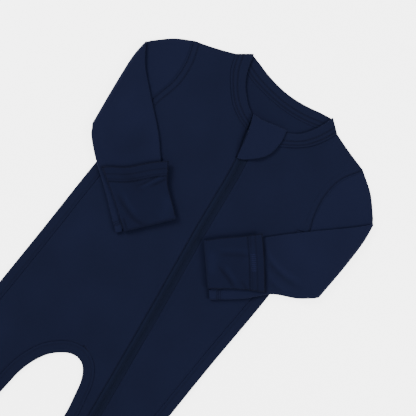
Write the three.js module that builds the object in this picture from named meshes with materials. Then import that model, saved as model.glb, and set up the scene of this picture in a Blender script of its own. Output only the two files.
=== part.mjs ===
// A zip-up baby sleeper laid flat on its back, its sleeves folded over the front at the elbow
// and its mitten cuffs turned over. Millimetres: x runs from the wearer's right to the wearer's
// left, y runs towards the neck and z runs up from the surface that the sleeper lies on.
// Each cut piece is a surface of points and normals that is given the thickness of the cloth.
import * as THREE from "three";

// Cloth
const cloth = 1.2; // one wall of jersey with the air in it
const doubled = 1.6; // two walls pressed together, as in the neck band and the chin tab
const gap = 0.3; // between neighbours, at seams and between layers
const layer = cloth + gap; // rise from one layer of cloth to the next

// Heights of the middle of each wall
const backHeight = cloth / 2;
const frontHeight = backHeight + layer;
const neckBackHeight = doubled / 2;
const neckFrontHeight = neckBackHeight + doubled + gap;
const armHeight = backHeight + layer / 2; // middle of the two walls of an upper arm
const elbowHeight = 2 * layer - gap / 2; // level about which the sleeve turns back over itself
const foreArmHeight = 2 * elbowHeight - armHeight;
const flapHeight = foreArmHeight + layer / 2 + layer; // the cuff's flap, on top of the forearm

// Seams, hems and swell
const sideFlange = 12; // width of the back that shows on the front, inside the side folds
const shoulderFlange = 4; // width of the front that lies under the back's shoulder edge
const zipWidth = 10.6; // zip tapes that show between the two fronts
const zipEnd = -382; // the zip stops here, above the hem of the left leg
const tapeEnd = zipEnd + 3.2; // and its tapes a little above that
const tapeThickness = 1;
const tapeCrowding = 1.7; // crowds the rows of the tapes towards the top, where the zip bends most
const sleeveSeam = 0.4; // between the armhole and the end of the sleeve
const swell = 1.0; // how far the front lifts off the back, away from its edges
const swellStart = 13; // distance from a fold where the swell starts
const swellFull = 60; // and where it is full
const armSwell = 0.45; // half of the air in the forearm
const cuffTuck = 0.8; // length of the cuff that lies under the end of the sleeve
const crotch = [-2, -228.5];

// Rows of points along each stretch of an edge, and columns across a panel
const legShares = [0, 0.14, 0.18, 0.45, 0.72, 1]; // two close rows at the lower end of the zip
const rows = { leg: legShares.length - 1, arch: 7, flank: 8, armhole: 6, upperArm: 4, foreArm: 9, tape: 22 };
const columns = { shoulder: 3, neck: 4, inner: 3, sleeve: rows.armhole };
const chestLevel = -3; // where the rows of the panels level with the underarms cross the middle
const panelReach = 4; // keeps the rows of a panel level until close under the neck
const turnSteps = 4; // steps in a half turn of cloth
const foldSamples = 30; // points along each fold that the swell is measured from
const zipSamples = 200; // points along the zip's line

// Silhouette of the garment and its seams, laid flat, seen from above. Each point is x, y.
const wearerRight = {
  side: {
    leg: [[-113, -399], [-111, -340], [-110, -290]],
    arch: [[-110, -290], [-109.2, -250], [-109, -218]],
    flank: [[-109, -218], [-109, -150], [-109.6, -75], [-108.8, -30], [-107.2, -8], [-104.6, 7]],
  },
  inseam: {
    leg: [[-45, -399], [-41.5, -345], [-38.4, -292]],
    arch: [[-38.4, -292], [-37.2, -276], [-33.2, -260], [-25.9, -245], [-16.3, -235], [-9, -230.3], crotch],
  },
  armhole: [[-104.6, 7.4], [-104.6, 20], [-99.8, 46], [-101.5, 68], [-109.5, 90.4]],
  shoulder: [[-109.5, 90.4], [-92.5, 96.4], [-80, 101.5], [-68.6, 106.6]],
  neckOuter: [[-68.6, 106.6], [-62.4, 91], [-53.3, 79], [-38.8, 65], [-24, 57.6], [-11.8, 54.8]],
  neckInner: [[-54.7, 117.8], [-49.4, 102], [-43, 90], [-32.4, 79], [-23.5, 72.6], [-17, 69.5]],
  armTop: [[-109.5, 90.4], [-126.5, 79.6], [-146.5, 60]],
  armUnder: [[-104.6, 7.4], [-113.5, 0], [-122, -14], [-136.4, -38.5]],
  elbow: [[-146.5, 60], [-147.4, 42], [-143.8, 10], [-136.4, -38.5]],
  foreTop: [[-146.5, 60], [-131, 40], [-104.3, 17.2], [-78, -4.5], [-58, -24.5], [-13, -61.5]],
  foreUnder: [[-136.4, -38.5], [-131, -46], [-115.3, -60.2], [-84, -82], [-48, -109]],
  flapFree: [[-53.3, -19], [-75.5, -41.5], [-101, -65.3]],
  flapTop: [[-11.3, -58.8], [-20, -52.1], [-39.6, -37.3], [-45.4, -29.6], [-53.3, -19]],
  flapUnder: [[-44.3, -101.6], [-70, -84], [-101, -65.3]],
};
const wearerLeft = {
  side: {
    leg: [[101, -399], [103.4, -340], [105.4, -290]],
    arch: [[105.4, -290], [106.8, -250], [107.4, -218]],
    flank: [[107.4, -218], [107.5, -150], [108.8, -75], [108, -30], [106, -5], [101, 12]],
  },
  inseam: {
    leg: [[33, -399], [30, -345], [26, -292]],
    arch: [[26, -292], [24.2, -276], [20.4, -260], [16.4, -245], [10.7, -235], [5, -230.3], crotch],
  },
  armhole: [[101, 12.4], [93.6, 30.5], [89.3, 53], [91.6, 74], [102.9, 96]],
  shoulder: [[102.9, 96], [86, 100.2], [71.5, 104.2], [60.5, 107.6]],
  neckOuter: [[60.5, 107.6], [55.3, 95], [47.1, 81.2], [37.9, 71.9], [25.7, 63.2], [12, 56.4], [-1.3, 53.6]],
  neckInner: [[46.5, 118], [43, 105.5], [38.3, 95], [31, 84.5], [18.5, 76.3], [5.5, 71.2], [-6.4, 69.4]],
  armTop: [[102.9, 96], [124, 82.2], [145.3, 60.6]],
  armUnder: [[101, 12.4], [113, 0], [126, -14], [148.6, -31.5]],
  elbow: [[145.3, 60.6], [148.4, 42], [149.5, 10], [148.6, -31.5]],
  foreTop: [[145.3, 60.6], [129.2, 43.3], [102.2, 17], [84.6, -0.8], [66, -20.5], [24.3, -59.5]],
  foreUnder: [[148.6, -31.5], [132.3, -45], [109.6, -58], [90, -79.5], [63.8, -102]],
  flapFree: [[64.2, -16.4], [84, -37.5], [103, -60]],
  flapTop: [[23.6, -58.2], [35, -46], [51, -30.5], [64.2, -16.4]],
  flapUnder: [[57.2, -93], [78, -76.5], [103, -60]],
};
const neckBack = {
  top: [[-54.7, 117.8], [-37, 112], [-20, 108.8], [-3, 107.8], [14, 109.4], [30, 113], [46.5, 118]],
  seam: [[-68.6, 106.6], [-45, 97.4], [-22, 93.6], [-3, 92.6], [16, 93.8], [38, 98.8], [60.5, 107.6]],
};
const zipLine = [[-12, 70.5], [-5.2, 50], [2.6, 26.6], [16.3, -60], [29.1, -136], [49, -264], [58, -330],
  [64.5, -399]];
const chinTab = {
  zipEdge: [[-2.6, 25.2], [-10.3, 52.1], [-17.4, 70]],
  top: [[-17.4, 70], [-4.7, 71.6], [7.4, 75.6], [18.7, 78.2]],
  freeEdge: [[0.6, 26.8], [6.8, 31.6], [14.4, 39], [20.6, 49], [22, 60], [21.4, 69.5], [18.7, 78.2]],
  bandRise: [44, 53], // y where the tab climbs from the front on to the neck band
  sliderRise: [27, 40], // y where it climbs over the slider
  hump: [6, 17], // distance from the zip where that hump starts to fall, and where it ends
  zipTop: 70, // the zip's line is followed up to this y
  rows: 9,
  columns: 6,
};
const slider = {
  x: -8.6,
  y: 59,
  width: 6.4,
  length: 9,
  pullWidth: 4,
  pullLength: 13,
  height: 1.7,
  lean: 0.32,
};

// Points, lists of points and surfaces
const vector = ([x, y]) => new THREE.Vector3(x, y, 0);
const curveThrough = (points) => new THREE.CatmullRomCurve3(points.map(vector), false, "centripetal");
const along = (points, steps) => curveThrough(points).getSpacedPoints(steps);
const mix = (a, b, share) => a.clone().lerp(b, share);
const joined = (...lists) => lists.reduce((all, list) => [...all, ...list.slice(1)]);
const smooth = THREE.MathUtils.smoothstep;

// Unit vectors square to a line of points in plan, to its left as it runs.
function leftOf(points) {
  return points.map((point, i) => {
    const before = points[Math.max(i - 1, 0)];
    const after = points[Math.min(i + 1, points.length - 1)];
    return new THREE.Vector3(before.y - after.y, after.x - before.x, 0).normalize();
  });
}

const rightOf = (points) => leftOf(points).map((side) => side.negate());

const movedAlong = (points, directions, distance) =>
  points.map((point, i) => point.clone().addScaledVector(directions[i], distance));

// A four-sided patch filled in between its edges. first and last run across it, near and far up it.
// With reach over 1 the rows soon stop following the shape of the last one.
function patch(first, last, near, far, reach = 1) {
  const across = first.length - 1;
  const climb = near.length - 1;
  return near.map((nearPoint, i) =>
    first.map((firstPoint, j) => {
      const u = j / across;
      const v = (i / climb) ** reach;
      const corners = mix(mix(first[0], first[across], u), mix(last[0], last[across], u), v);
      return mix(nearPoint, far[i], u).add(mix(firstPoint, last[j], v)).sub(corners);
    }),
  );
}

class Surface {
  points = [];
  normals = [];
  quads = [];

  add(point, normal) {
    this.points.push(point);
    this.normals.push(normal);
    return this.points.length - 1;
  }

  // Adds faces between neighbouring lists of vertices, anticlockwise seen from their normals' side.
  strips(lists) {
    const faces = [];
    let facing = 0;
    for (let i = 0; i + 1 < lists.length; i++) {
      for (let j = 0; j + 1 < lists[i].length; j++) {
        const corners = [lists[i][j], lists[i][j + 1], lists[i + 1][j + 1], lists[i + 1][j]];
        const [a, b, c, d] = corners.map((k) => this.points[k]);
        facing += c.clone().sub(a).cross(d.clone().sub(b)).dot(this.normals[corners[0]]);
        faces.push(corners);
      }
    }
    this.quads.push(...(facing < 0 ? faces.map((corners) => corners.reverse()) : faces));
  }

  // The closed wall: both faces of the cloth and the cut edge all round.
  wall(thickness) {
    const count = this.points.length;
    const vertices = [0.5, -0.5].flatMap((side) =>
      this.points.map((point, k) => point.clone().addScaledVector(this.normals[k], side * thickness)),
    );
    const edges = new Set();
    for (const quad of this.quads) {
      quad.forEach((a, k) => edges.add(a + " " + quad[(k + 1) % 4]));
    }
    const faces = [];
    for (const [a, b, c, d] of this.quads) {
      faces.push([a, b, c, d], [d + count, c + count, b + count, a + count]);
    }
    for (const edge of edges) {
      const [a, b] = edge.split(" ").map(Number);
      if (!edges.has(b + " " + a)) faces.push([a + count, b + count, b, a]);
    }
    const geometry = new THREE.BufferGeometry().setFromPoints(vertices);
    geometry.setIndex(faces.flatMap(([a, b, c, d]) => [a, b, c, a, c, d]));
    return geometry;
  }
}

// Colours and finishes
const jersey = new THREE.MeshStandardMaterial({ color: "#1a2340", roughness: 0.9, metalness: 0 });
const tape = new THREE.MeshStandardMaterial({ color: "#161d36", roughness: 0.85, metalness: 0 });
const enamel = new THREE.MeshStandardMaterial({ color: "#1b2440", roughness: 0.4, metalness: 0.6 });

const garment = new THREE.Group();

function addPiece(name, geometry, material) {
  const mesh = new THREE.Mesh(geometry, material);
  geometry.computeVertexNormals();
  mesh.name = name;
  garment.add(mesh);
}

// The outline in rows
const stretchRows = ({ leg, ...upper }) =>
  joined(
    legShares.map((share) => curveThrough(leg).getPointAt(share)),
    ...Object.entries(upper).map(([name, points]) => along(points, rows[name])),
  );
const fold = cloth / 2 + layer / 2; // from the silhouette in to where a turned edge starts to bend
const legRows = rows.leg + rows.arch;

const sides = {
  right: { line: stretchRows(wearerRight.side), out: leftOf },
  left: { line: stretchRows(wearerLeft.side), out: rightOf },
};
const archLine = joined(stretchRows(wearerRight.inseam), stretchRows(wearerLeft.inseam).reverse());
const archOut = rightOf(archLine);
const inner = {
  right: { line: archLine.slice(0, legRows + 1), out: archOut.slice(0, legRows + 1) },
  left: { line: archLine.slice(legRows).reverse(), out: archOut.slice(legRows).reverse() },
};

// How far the front is lifted off the back at a place: nothing near the folds.
const distanceTo = (line, x, y) => Math.min(...line.map((point) => Math.hypot(point.x - x, point.y - y)));
const denseFolds = [wearerRight, wearerLeft].flatMap(({ side, inseam, armhole }) =>
  [...Object.values(side), ...Object.values(inseam), armhole].flatMap((points) => along(points, foldSamples)),
);
const neckFade = { start: 15, end: 60 }; // the swell fades between these heights, below the neck
function lift(x, y) {
  const towardsNeck = 1 - smooth(y, neckFade.start, neckFade.end);
  return swell * towardsNeck * smooth(distanceTo(denseFolds, x, y), swellStart, swellFull);
}

const up = new THREE.Vector3(0, 0, 1);
const down = new THREE.Vector3(0, 0, -1);

// The angles between the start and the end of a half turn.
const bends = [...Array(turnSteps - 1).keys()].map((k) => (Math.PI * (k + 1)) / turnSteps);

// Puts a patch into a surface at a height, and returns its vertices in rows.
function lay(surface, grid, height, normal, shared = []) {
  return grid.map((row, i) =>
    row.map((point, j) => {
      if (j === 0 && shared[i] !== undefined) return shared[i];
      const z = typeof height === "function" ? height(point.x, point.y) : height;
      return surface.add(new THREE.Vector3(point.x, point.y, z), normal);
    }),
  );
}

// Turns a border over to the other face of the garment, by a drop or rise, and lays a flange there.
function turnOver(surface, border, out, rise, flange, sharedLast) {
  const lists = [border];
  const placed = (k, outwards, climb, normal) => {
    const point = surface.points[border[k]].clone().addScaledVector(out[k], outwards);
    return surface.add(point.setZ(point.z + climb), normal);
  };
  for (let step = 1; step <= turnSteps; step++) {
    const angle = (Math.PI * step) / turnSteps;
    const slope = -Math.sign(rise) * Math.cos(angle);
    const outwards = (Math.abs(rise) / 2) * Math.sin(angle);
    const climb = (rise / 2) * (1 - Math.cos(angle));
    lists.push(
      border.map((vertex, k) => {
        const normal = out[k].clone().multiplyScalar(Math.sin(angle)).addScaledVector(up, slope);
        return placed(k, outwards, climb, normal);
      }),
    );
  }
  lists.push(border.map((vertex, k) => placed(k, fold - flange, rise, rise > 0 ? up : down)));
  if (sharedLast) {
    lists.slice(1).forEach((list, k) => {
      list[list.length - 1] = sharedLast[k];
    });
  }
  surface.strips(lists);
  return lists.slice(1).map((list) => list.at(-1));
}

// Back: two halves that share the line up the middle, from the crotch to the neck
const shoulderGap = shoulderFlange + gap;

// The line up the middle of a panel: rows to the level of the underarms, then rows to the neck.
function middleLine(from, to, upperRows) {
  const share = (chestLevel - from.y) / (to.y - from.y);
  const chest = mix(from, to, share);
  const between = (a, b, steps) => [...Array(steps + 1).keys()].map((k) => mix(a, b, k / steps));
  return [between(from, chest, rows.flank), between(chest, to, upperRows)];
}

// The corner at the top of an armhole, a distance down its seam from the silhouette.
const armholeCorner = (armhole, distance) =>
  mix(armhole.at(-1), armhole.at(-2), distance / armhole.at(-1).distanceTo(armhole.at(-2)));

function backHalf(surface, name, cut, shared) {
  const { line, out } = sides[name];
  const sideOut = out(line);
  const sideEdge = movedAlong(line, sideOut, -fold);
  const armhole = along(cut.armhole, rows.armhole);
  const shoulder = along(cut.shoulder, columns.shoulder);
  const shoulderOut = name === "right" ? leftOf(shoulder) : rightOf(shoulder);
  const shoulderEdge = movedAlong(shoulder, shoulderOut, -shoulderGap);
  shoulderEdge[0] = armholeCorner(armhole, shoulderGap);
  const seam = along(neckBack.seam, 2 * columns.neck);
  const half = name === "right" ? seam.slice(0, columns.neck + 1) : seam.slice(columns.neck).reverse();
  const neck = half.map((point) => point.clone().setY(point.y - gap));
  neck[0] = shoulderEdge[columns.shoulder];
  const near = joined(sideEdge, [...armhole.slice(0, -1), shoulderEdge[0]]);
  const crotchEdge = movedAlong(inner[name].line, inner[name].out, -fold);
  const far = joined(crotchEdge, ...middleLine(crotchEdge.at(-1), neck.at(-1), rows.armhole));
  const last = joined(shoulderEdge, neck);
  const first = along([[near[0].x, near[0].y], [far[0].x, far[0].y]], last.length - 1);
  const plan = patch(first.reverse(), [...last].reverse(), far, near, panelReach);
  const grid = lay(surface, plan, backHeight, down, shared);
  const border = grid.map((row) => row.at(-1)).slice(0, line.length);
  turnOver(surface, border, sideOut, layer, sideFlange);
  surface.strips(grid);
  return grid;
}

const back = new Surface();
const rightGrid = backHalf(back, "right", wearerRight, []);
const middleVertices = rightGrid.map((row, i) => (i < legRows ? undefined : row[0]));
const leftGrid = backHalf(back, "left", wearerLeft, middleVertices);
const rightInseam = rightGrid.slice(0, legRows + 1).map((row) => row[0]);
const leftInseam = leftGrid.slice(0, legRows + 1).map((row) => row[0]);
const apex = turnOver(back, rightInseam, inner.right.out, layer, sideFlange);
turnOver(back, leftInseam, inner.left.out, layer, sideFlange, apex);
addPiece("back", back.wall(cloth), jersey);

// Fronts: their edges lie inside the back's flanges
const zipCurve = curveThrough(zipLine);
const zipPoints = zipCurve.getSpacedPoints(zipSamples);

// A point on the zip's line at a height, with the line's direction there.
function zipAt(y) {
  const k = zipPoints.findIndex((point) => point.y <= y);
  const after = zipPoints[Math.max(k, 1)];
  const before = zipPoints[Math.max(k, 1) - 1];
  const share = (before.y - y) / (before.y - after.y);
  return { point: mix(before, after, share), direction: after.clone().sub(before).normalize() };
}

// The edge of a front along the zip, on the wearer's right (-1) or left (+1) of it.
function zipEdge(y, side, inset = 0) {
  const { point, direction } = zipAt(y);
  const halfWidth = (y > zipEnd ? zipWidth : gap) / 2 - inset;
  return point.setX(point.x + (side * halfWidth) / Math.abs(direction.y));
}

const flangeGap = sideFlange + gap;
const chestRow = legRows + rows.flank;

// Heights for the rows of a zip edge: level with another edge up to the chest, then even to the top.
function levels(edge, top) {
  const chest = edge[chestRow].y;
  const upperRows = edge.length - 1 - chestRow;
  const rise = (top - chest) / upperRows;
  return edge.map((point, i) => (i <= chestRow ? point.y : chest + rise * (i - chestRow)));
}

const frontZ = (x, y) => frontHeight + lift(x, y);

function panelSide(name, cut) {
  const { line, out } = sides[name];
  const flank = movedAlong(line, out(line), -flangeGap);
  flank.at(-1).y += gap; // clear of the top of the flange
  return joined(flank, [null, ...along(cut.armhole, rows.armhole)]);
}

function shoulderBorder(name, cut) {
  const line = along(cut.shoulder, columns.shoulder);
  const out = name === "right" ? leftOf(line) : rightOf(line);
  const edge = movedAlong(line, out, -fold);
  const armhole = along(cut.armhole, rows.armhole);
  edge[0] = armholeCorner(armhole, fold);
  out[0] = armhole.at(-1).clone().sub(armhole.at(-2)).normalize();
  return { edge, out };
}

const innerGap = {
  right: movedAlong(inner.right.line, inner.right.out, -flangeGap),
  left: movedAlong(inner.left.line, inner.left.out, -flangeGap),
};

// Front on the wearer's left: from the zip to the side fold
{
  const surface = new Surface();
  const near = panelSide("left", wearerLeft);
  const { edge, out } = shoulderBorder("left", wearerLeft);
  near[near.length - 1] = edge[0];
  const neck = along(wearerLeft.neckOuter, columns.neck + columns.inner);
  const last = joined(edge, [edge.at(-1), ...neck.slice(1)].map((point) => point.clone()));
  const zipTop = zipEdge(neck.at(-1).y, 1);
  last[last.length - 1] = zipTop;
  const far = levels(near, zipTop.y).map((y) => zipEdge(y, 1));
  const first = along([[near[0].x, near[0].y], [far[0].x, far[0].y]], last.length - 1);
  const grid = lay(surface, patch(first, last, near, far, panelReach), frontZ, up);
  surface.strips(grid);
  turnOver(surface, grid.at(-1).slice(0, columns.shoulder + 1), out, -layer, shoulderFlange);
  addPiece("front_left", surface.wall(cloth), jersey);
}

// Front on the wearer's right: one patch from the side fold, one from the other leg's inseam to the zip
{
  const surface = new Surface();
  const near = panelSide("right", wearerRight);
  const { edge, out } = shoulderBorder("right", wearerRight);
  near[near.length - 1] = edge[0];
  const neck = along(wearerRight.neckOuter, columns.neck + columns.inner);
  const outerNeck = neck.slice(0, columns.neck + 1);
  const innerNeck = neck.slice(columns.neck);
  const shoulderAndNeck = joined(edge, [edge.at(-1), ...outerNeck.slice(1)]);
  const middle = middleLine(innerGap.right.at(-1), outerNeck.at(-1), rows.armhole + 1);
  const far = joined(innerGap.right, ...middle);
  const hem = along([[near[0].x, near[0].y], [far[0].x, far[0].y]], shoulderAndNeck.length - 1);
  const outerPatch = patch([...hem].reverse(), [...shoulderAndNeck].reverse(), far, near, panelReach);
  const outerGrid = lay(surface, outerPatch, frontZ, up);
  surface.strips(outerGrid);
  const shared = outerGrid.map((row, i) => (i < legRows ? undefined : row[0]));
  const innerSide = joined(innerGap.left, ...middle);
  const zipTop = zipEdge(innerNeck.at(-1).y, -1);
  innerNeck[innerNeck.length - 1] = zipTop;
  const zipSide = levels(innerSide, zipTop.y).map((y) => zipEdge(y, -1));
  const innerHem = along([[innerSide[0].x, innerSide[0].y], [zipSide[0].x, zipSide[0].y]], columns.inner);
  const innerGrid = lay(surface, patch(innerHem, innerNeck, innerSide, zipSide), frontZ, up, shared);
  surface.strips(innerGrid);
  const topRow = [...outerGrid.at(-1)].reverse().slice(0, columns.shoulder + 1);
  turnOver(surface, topRow, out, -layer, shoulderFlange);
  addPiece("front_right", surface.wall(cloth), jersey);
}

// Zip: a tape on each side of the coil
for (const [name, side] of [["right", -1], ["left", 1]]) {
  const surface = new Surface();
  const top = wearerLeft.neckInner.at(-1)[1];
  const shares = [...Array(rows.tape + 1).keys()].map((k) => 1 - (1 - k / rows.tape) ** tapeCrowding);
  const heights = shares.map((share) => tapeEnd + (top - tapeEnd) * share);
  const edges = [zipWidth / 2 - gap / 2, gap].map((inset) => heights.map((y) => zipEdge(y, side, inset)));
  const grid = edges[0].map((point, i) => [point, mix(point, edges[1][i], 0.5), edges[1][i]]);
  surface.strips(lay(surface, grid, (x, y) => cloth + gap + tapeThickness / 2 + lift(x, y), up));
  addPiece("zip_tape_" + name, surface.wall(tapeThickness), tape);
}

// Neck band: along the front to one end of the neck, over, along the back and over to the front again
{
  const surface = new Surface();
  const frontSteps = columns.neck + columns.inner;
  const drop = neckFrontHeight - neckBackHeight;
  const turn = doubled / 2 + drop / 2;
  const ends = {
    right: [vector(wearerRight.neckOuter[0]), vector(wearerRight.neckInner[0])],
    left: [vector(wearerLeft.neckOuter[0]), vector(wearerLeft.neckInner[0])],
  };
  const station = (outer, inside) => {
    const across = inside.clone().sub(outer).normalize();
    const start = outer.clone().addScaledVector(across, gap);
    return [start, mix(start, inside, 0.5), inside.clone()];
  };
  const stations = (outer, inside) => outer.map((point, i) => station(point, inside[i]));
  const front = (cut, side) => {
    const outer = along(cut.neckOuter, frontSteps);
    const inside = along(cut.neckInner, frontSteps);
    outer[frontSteps] = zipEdge(outer[frontSteps].y, side);
    inside[frontSteps] = zipEdge(inside[frontSteps].y, side);
    return stations(outer, inside);
  };
  const fronts = { right: front(wearerRight, -1), left: front(wearerLeft, 1) };
  const behind = stations(along(neckBack.seam, 2 * columns.neck), along(neckBack.top, 2 * columns.neck));
  const foldOut = { right: leftOf(ends.right)[0], left: rightOf(ends.left)[0] };
  for (const name of ["right", "left"]) {
    const tucked = station(...ends[name]).map((point) => point.addScaledVector(foldOut[name], -turn));
    fronts[name][0] = tucked;
    behind[name === "right" ? 0 : behind.length - 1] = tucked;
  }
  const onRight = lay(surface, fronts.right, neckFrontHeight, up);
  const onLeft = lay(surface, fronts.left, neckFrontHeight, up);
  const onBack = lay(surface, behind, neckBackHeight, down);
  const turned = (name, row) =>
    bends.map((angle) => {
      return row.map((vertex) => {
        const point = surface.points[vertex].clone();
        point.addScaledVector(foldOut[name], (drop / 2) * Math.sin(angle));
        point.setZ(point.z - (drop / 2) * (1 - Math.cos(angle)));
        const normal = foldOut[name].clone().multiplyScalar(Math.sin(angle));
        normal.addScaledVector(up, Math.cos(angle));
        return surface.add(point, normal);
      });
    });
  surface.strips([
    ...[...onRight].reverse(),
    ...turned("right", onRight[0]),
    ...onBack,
    ...turned("left", onLeft[0]).reverse(),
    ...onLeft,
  ]);
  addPiece("neck_band", surface.wall(doubled), jersey);
}

// Slider with its pull laid flat below it, under the chin tab
const sliderBase = cloth + 3 * gap + tapeThickness;
{
  const { x, y, width, length, pullWidth, pullLength, height, lean } = slider;
  const shape = new THREE.Shape();
  shape.moveTo(-width / 2, length / 2);
  shape.lineTo(-width / 2, -length / 6);
  shape.quadraticCurveTo(-width / 2, -length / 2, -pullWidth / 2, -length / 2);
  shape.lineTo(-pullWidth / 2, -length / 2 - pullLength + pullWidth / 2);
  shape.absarc(0, -length / 2 - pullLength + pullWidth / 2, pullWidth / 2, Math.PI, 2 * Math.PI);
  shape.lineTo(pullWidth / 2, -length / 2);
  shape.quadraticCurveTo(width / 2, -length / 2, width / 2, -length / 6);
  shape.lineTo(width / 2, length / 2);
  const geometry = new THREE.ExtrudeGeometry(shape, { depth: height, bevelEnabled: false, curveSegments: 6 });
  geometry.rotateZ(lean);
  geometry.translate(x, y, sliderBase);
  addPiece("zip_slider", geometry, enamel);
}

// Chin tab: doubled, lies over the ends of the neck band and humps over the slider
{
  const surface = new Surface();
  const onFront = frontHeight + cloth / 2 + gap + doubled / 2;
  const onBand = neckFrontHeight + doubled + gap;
  const overSlider = sliderBase + slider.height + 2 * gap + doubled / 2;
  const height = (x, y) => {
    const base = THREE.MathUtils.lerp(onFront + lift(x, y), onBand, smooth(y, ...chinTab.bandRise));
    const fromZip = Math.abs(x - zipAt(Math.min(y, chinTab.zipTop)).point.x);
    const nearZip = 1 - smooth(fromZip, ...chinTab.hump);
    return THREE.MathUtils.lerp(base, overSlider, nearZip * smooth(y, ...chinTab.sliderRise));
  };
  const near = along(chinTab.zipEdge, chinTab.rows);
  const far = along(chinTab.freeEdge, chinTab.rows);
  const first = along([chinTab.zipEdge[0], chinTab.freeEdge[0]], chinTab.columns);
  const grid = patch(first, along(chinTab.top, chinTab.columns), near, far);
  surface.strips(lay(surface, grid, height, up));
  addPiece("chin_tab", surface.wall(doubled), jersey);
}

// A closed tube of cloth through stations of points across it, each with a normal and half a height
function tube(stations) {
  const surface = new Surface();
  const rings = stations.map((station) => {
    const last = station.length - 1;
    const wallSide = (k, side) => {
      const { point, normal, half } = station[k];
      const place = point.clone().addScaledVector(normal, side * half);
      return surface.add(place, normal.clone().multiplyScalar(side));
    };
    const turn = (k, neighbour, start) =>
      bends.map((bend) => {
        const angle = start + bend;
        const { point, normal, half } = station[k];
        const out = point.clone().sub(station[neighbour].point).setZ(0).normalize();
        const side = start === 0 ? out : out.negate();
        const direction = side.multiplyScalar(Math.sin(angle)).addScaledVector(normal, Math.cos(angle));
        return surface.add(point.clone().addScaledVector(direction, half), direction);
      });
    const over = station.map((place, k) => wallSide(k, 1));
    const farTurn = turn(last, last - 1, 0);
    const under = station.map((place, k) => wallSide(last - k, -1));
    const nearTurn = turn(0, 1, Math.PI);
    return [...over, ...farTurn, ...under, ...nearTurn, over[0]];
  });
  surface.strips(rings);
  return surface.wall(cloth);
}

// Moves the two ends of a row of points towards its middle.
function drawIn(row, distance) {
  const last = row.length - 1;
  const towards = (point, neighbour) => neighbour.clone().sub(point).normalize().multiplyScalar(distance);
  return row.map((point, k) => {
    if (k === 0) return point.clone().add(towards(point, row[1]));
    if (k === last) return point.clone().add(towards(point, row[last - 1]));
    return point.clone();
  });
}

// Sleeves and cuffs
for (const [name, cut] of Object.entries({ right: wearerRight, left: wearerLeft })) {
  const outward = name === "right" ? -1 : 1;
  const reach = elbowHeight - armHeight; // from the elbow's axis to the middle of the tube
  const elbow = along(cut.elbow, columns.sleeve);
  const elbowOut = name === "right" ? rightOf(elbow) : leftOf(elbow);
  const axis = movedAlong(elbow, elbowOut, -(reach + fold));
  const armholeLine = along(cut.armhole, columns.sleeve);
  const start = [...armholeLine].reverse().map((point) => point.setX(point.x + outward * sleeveSeam));

  // The cuff's fold at the wrist, and the end of the sleeve inside it
  const flapFirst = along([cut.flapTop[0], cut.flapUnder[0]], columns.sleeve);
  const flapOut = name === "right" ? leftOf(flapFirst) : rightOf(flapFirst);
  const lowerWall = foreArmHeight - layer / 2;
  const cuffFold = (flapHeight - lowerWall) / 2 + cloth / 2;
  const wristInset = cuffFold + cuffTuck + gap;
  const wristTop = vector(cut.flapTop[0]).addScaledVector(flapOut[0], -wristInset);
  const acrossWrist = flapFirst.at(-1).clone().sub(flapFirst[0]).normalize();
  const wristWidth = vector(cut.foreUnder.at(-1)).sub(flapFirst[0]).dot(acrossWrist);
  const wristUnder = wristTop.clone().addScaledVector(acrossWrist, wristWidth);

  const plan = ({ x, y }) => [x, y];
  const line = (from, to, steps) => along([plan(from), plan(to)], steps);
  const edge = (points, from, to, steps) => along([plan(from), ...points.slice(1, -1), plan(to)], steps);
  const upperArm = patch(
    start,
    axis,
    edge(cut.armTop, start[0], axis[0], rows.upperArm),
    edge(cut.armUnder, start.at(-1), axis.at(-1), rows.upperArm),
  );
  const foreArm = patch(
    axis,
    line(wristTop, wristUnder, columns.sleeve),
    edge(cut.foreTop, axis[0], wristTop, rows.foreArm),
    edge(cut.foreUnder, axis.at(-1), wristUnder, rows.foreArm),
  );
  const half = layer / 2;
  const stations = upperArm.map((row) =>
    drawIn(row, fold).map((point) => ({ point: point.setZ(armHeight), normal: up, half })),
  );
  for (const angle of bends) {
    stations.push(
      drawIn(axis, fold).map((point, k) => {
        const normal = elbowOut[k].clone().multiplyScalar(-Math.sin(angle));
        normal.addScaledVector(up, Math.cos(angle));
        return { point: point.setZ(elbowHeight).addScaledVector(normal, -reach), normal, half };
      }),
    );
  }
  foreArm.forEach((row, i) => {
    const bare = Math.sin(Math.PI * Math.min((2 * i) / rows.foreArm, 1));
    stations.push(
      drawIn(row, fold).map((point, k) => {
        const air = armSwell * bare * Math.sin((Math.PI * k) / columns.sleeve);
        point.setZ(foreArmHeight + lift(point.x, point.y) + air);
        return { point, normal: down, half: half + air };
      }),
    );
  });
  addPiece("sleeve_" + name, tube(stations), jersey);

  const base = movedAlong(flapFirst, flapOut, -cuffFold);
  const flap = patch(
    base,
    along(cut.flapFree, columns.sleeve),
    edge(cut.flapTop, base[0], vector(cut.flapFree[0]), columns.sleeve),
    edge(cut.flapUnder, base.at(-1), vector(cut.flapFree.at(-1)), columns.sleeve),
  );
  const surface = new Surface();
  const grid = lay(surface, flap, (x, y) => flapHeight + lift(x, y), up);
  surface.strips(grid);
  turnOver(surface, grid[0], flapOut, lowerWall - flapHeight, fold + cuffTuck);
  addPiece("cuff_" + name, surface.wall(cloth), jersey);
}

// The origin is under the middle of the garment.
garment.position.set(-1, 140.7, 0);

export default garment;
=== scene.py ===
# Zip-up baby sleeper laid flat, sleeves folded over the front, mitten cuffs turned over.
# Drawn in millimetres as it was cut and sewn, x to the wearer's left and y to the neck.
import math

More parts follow.
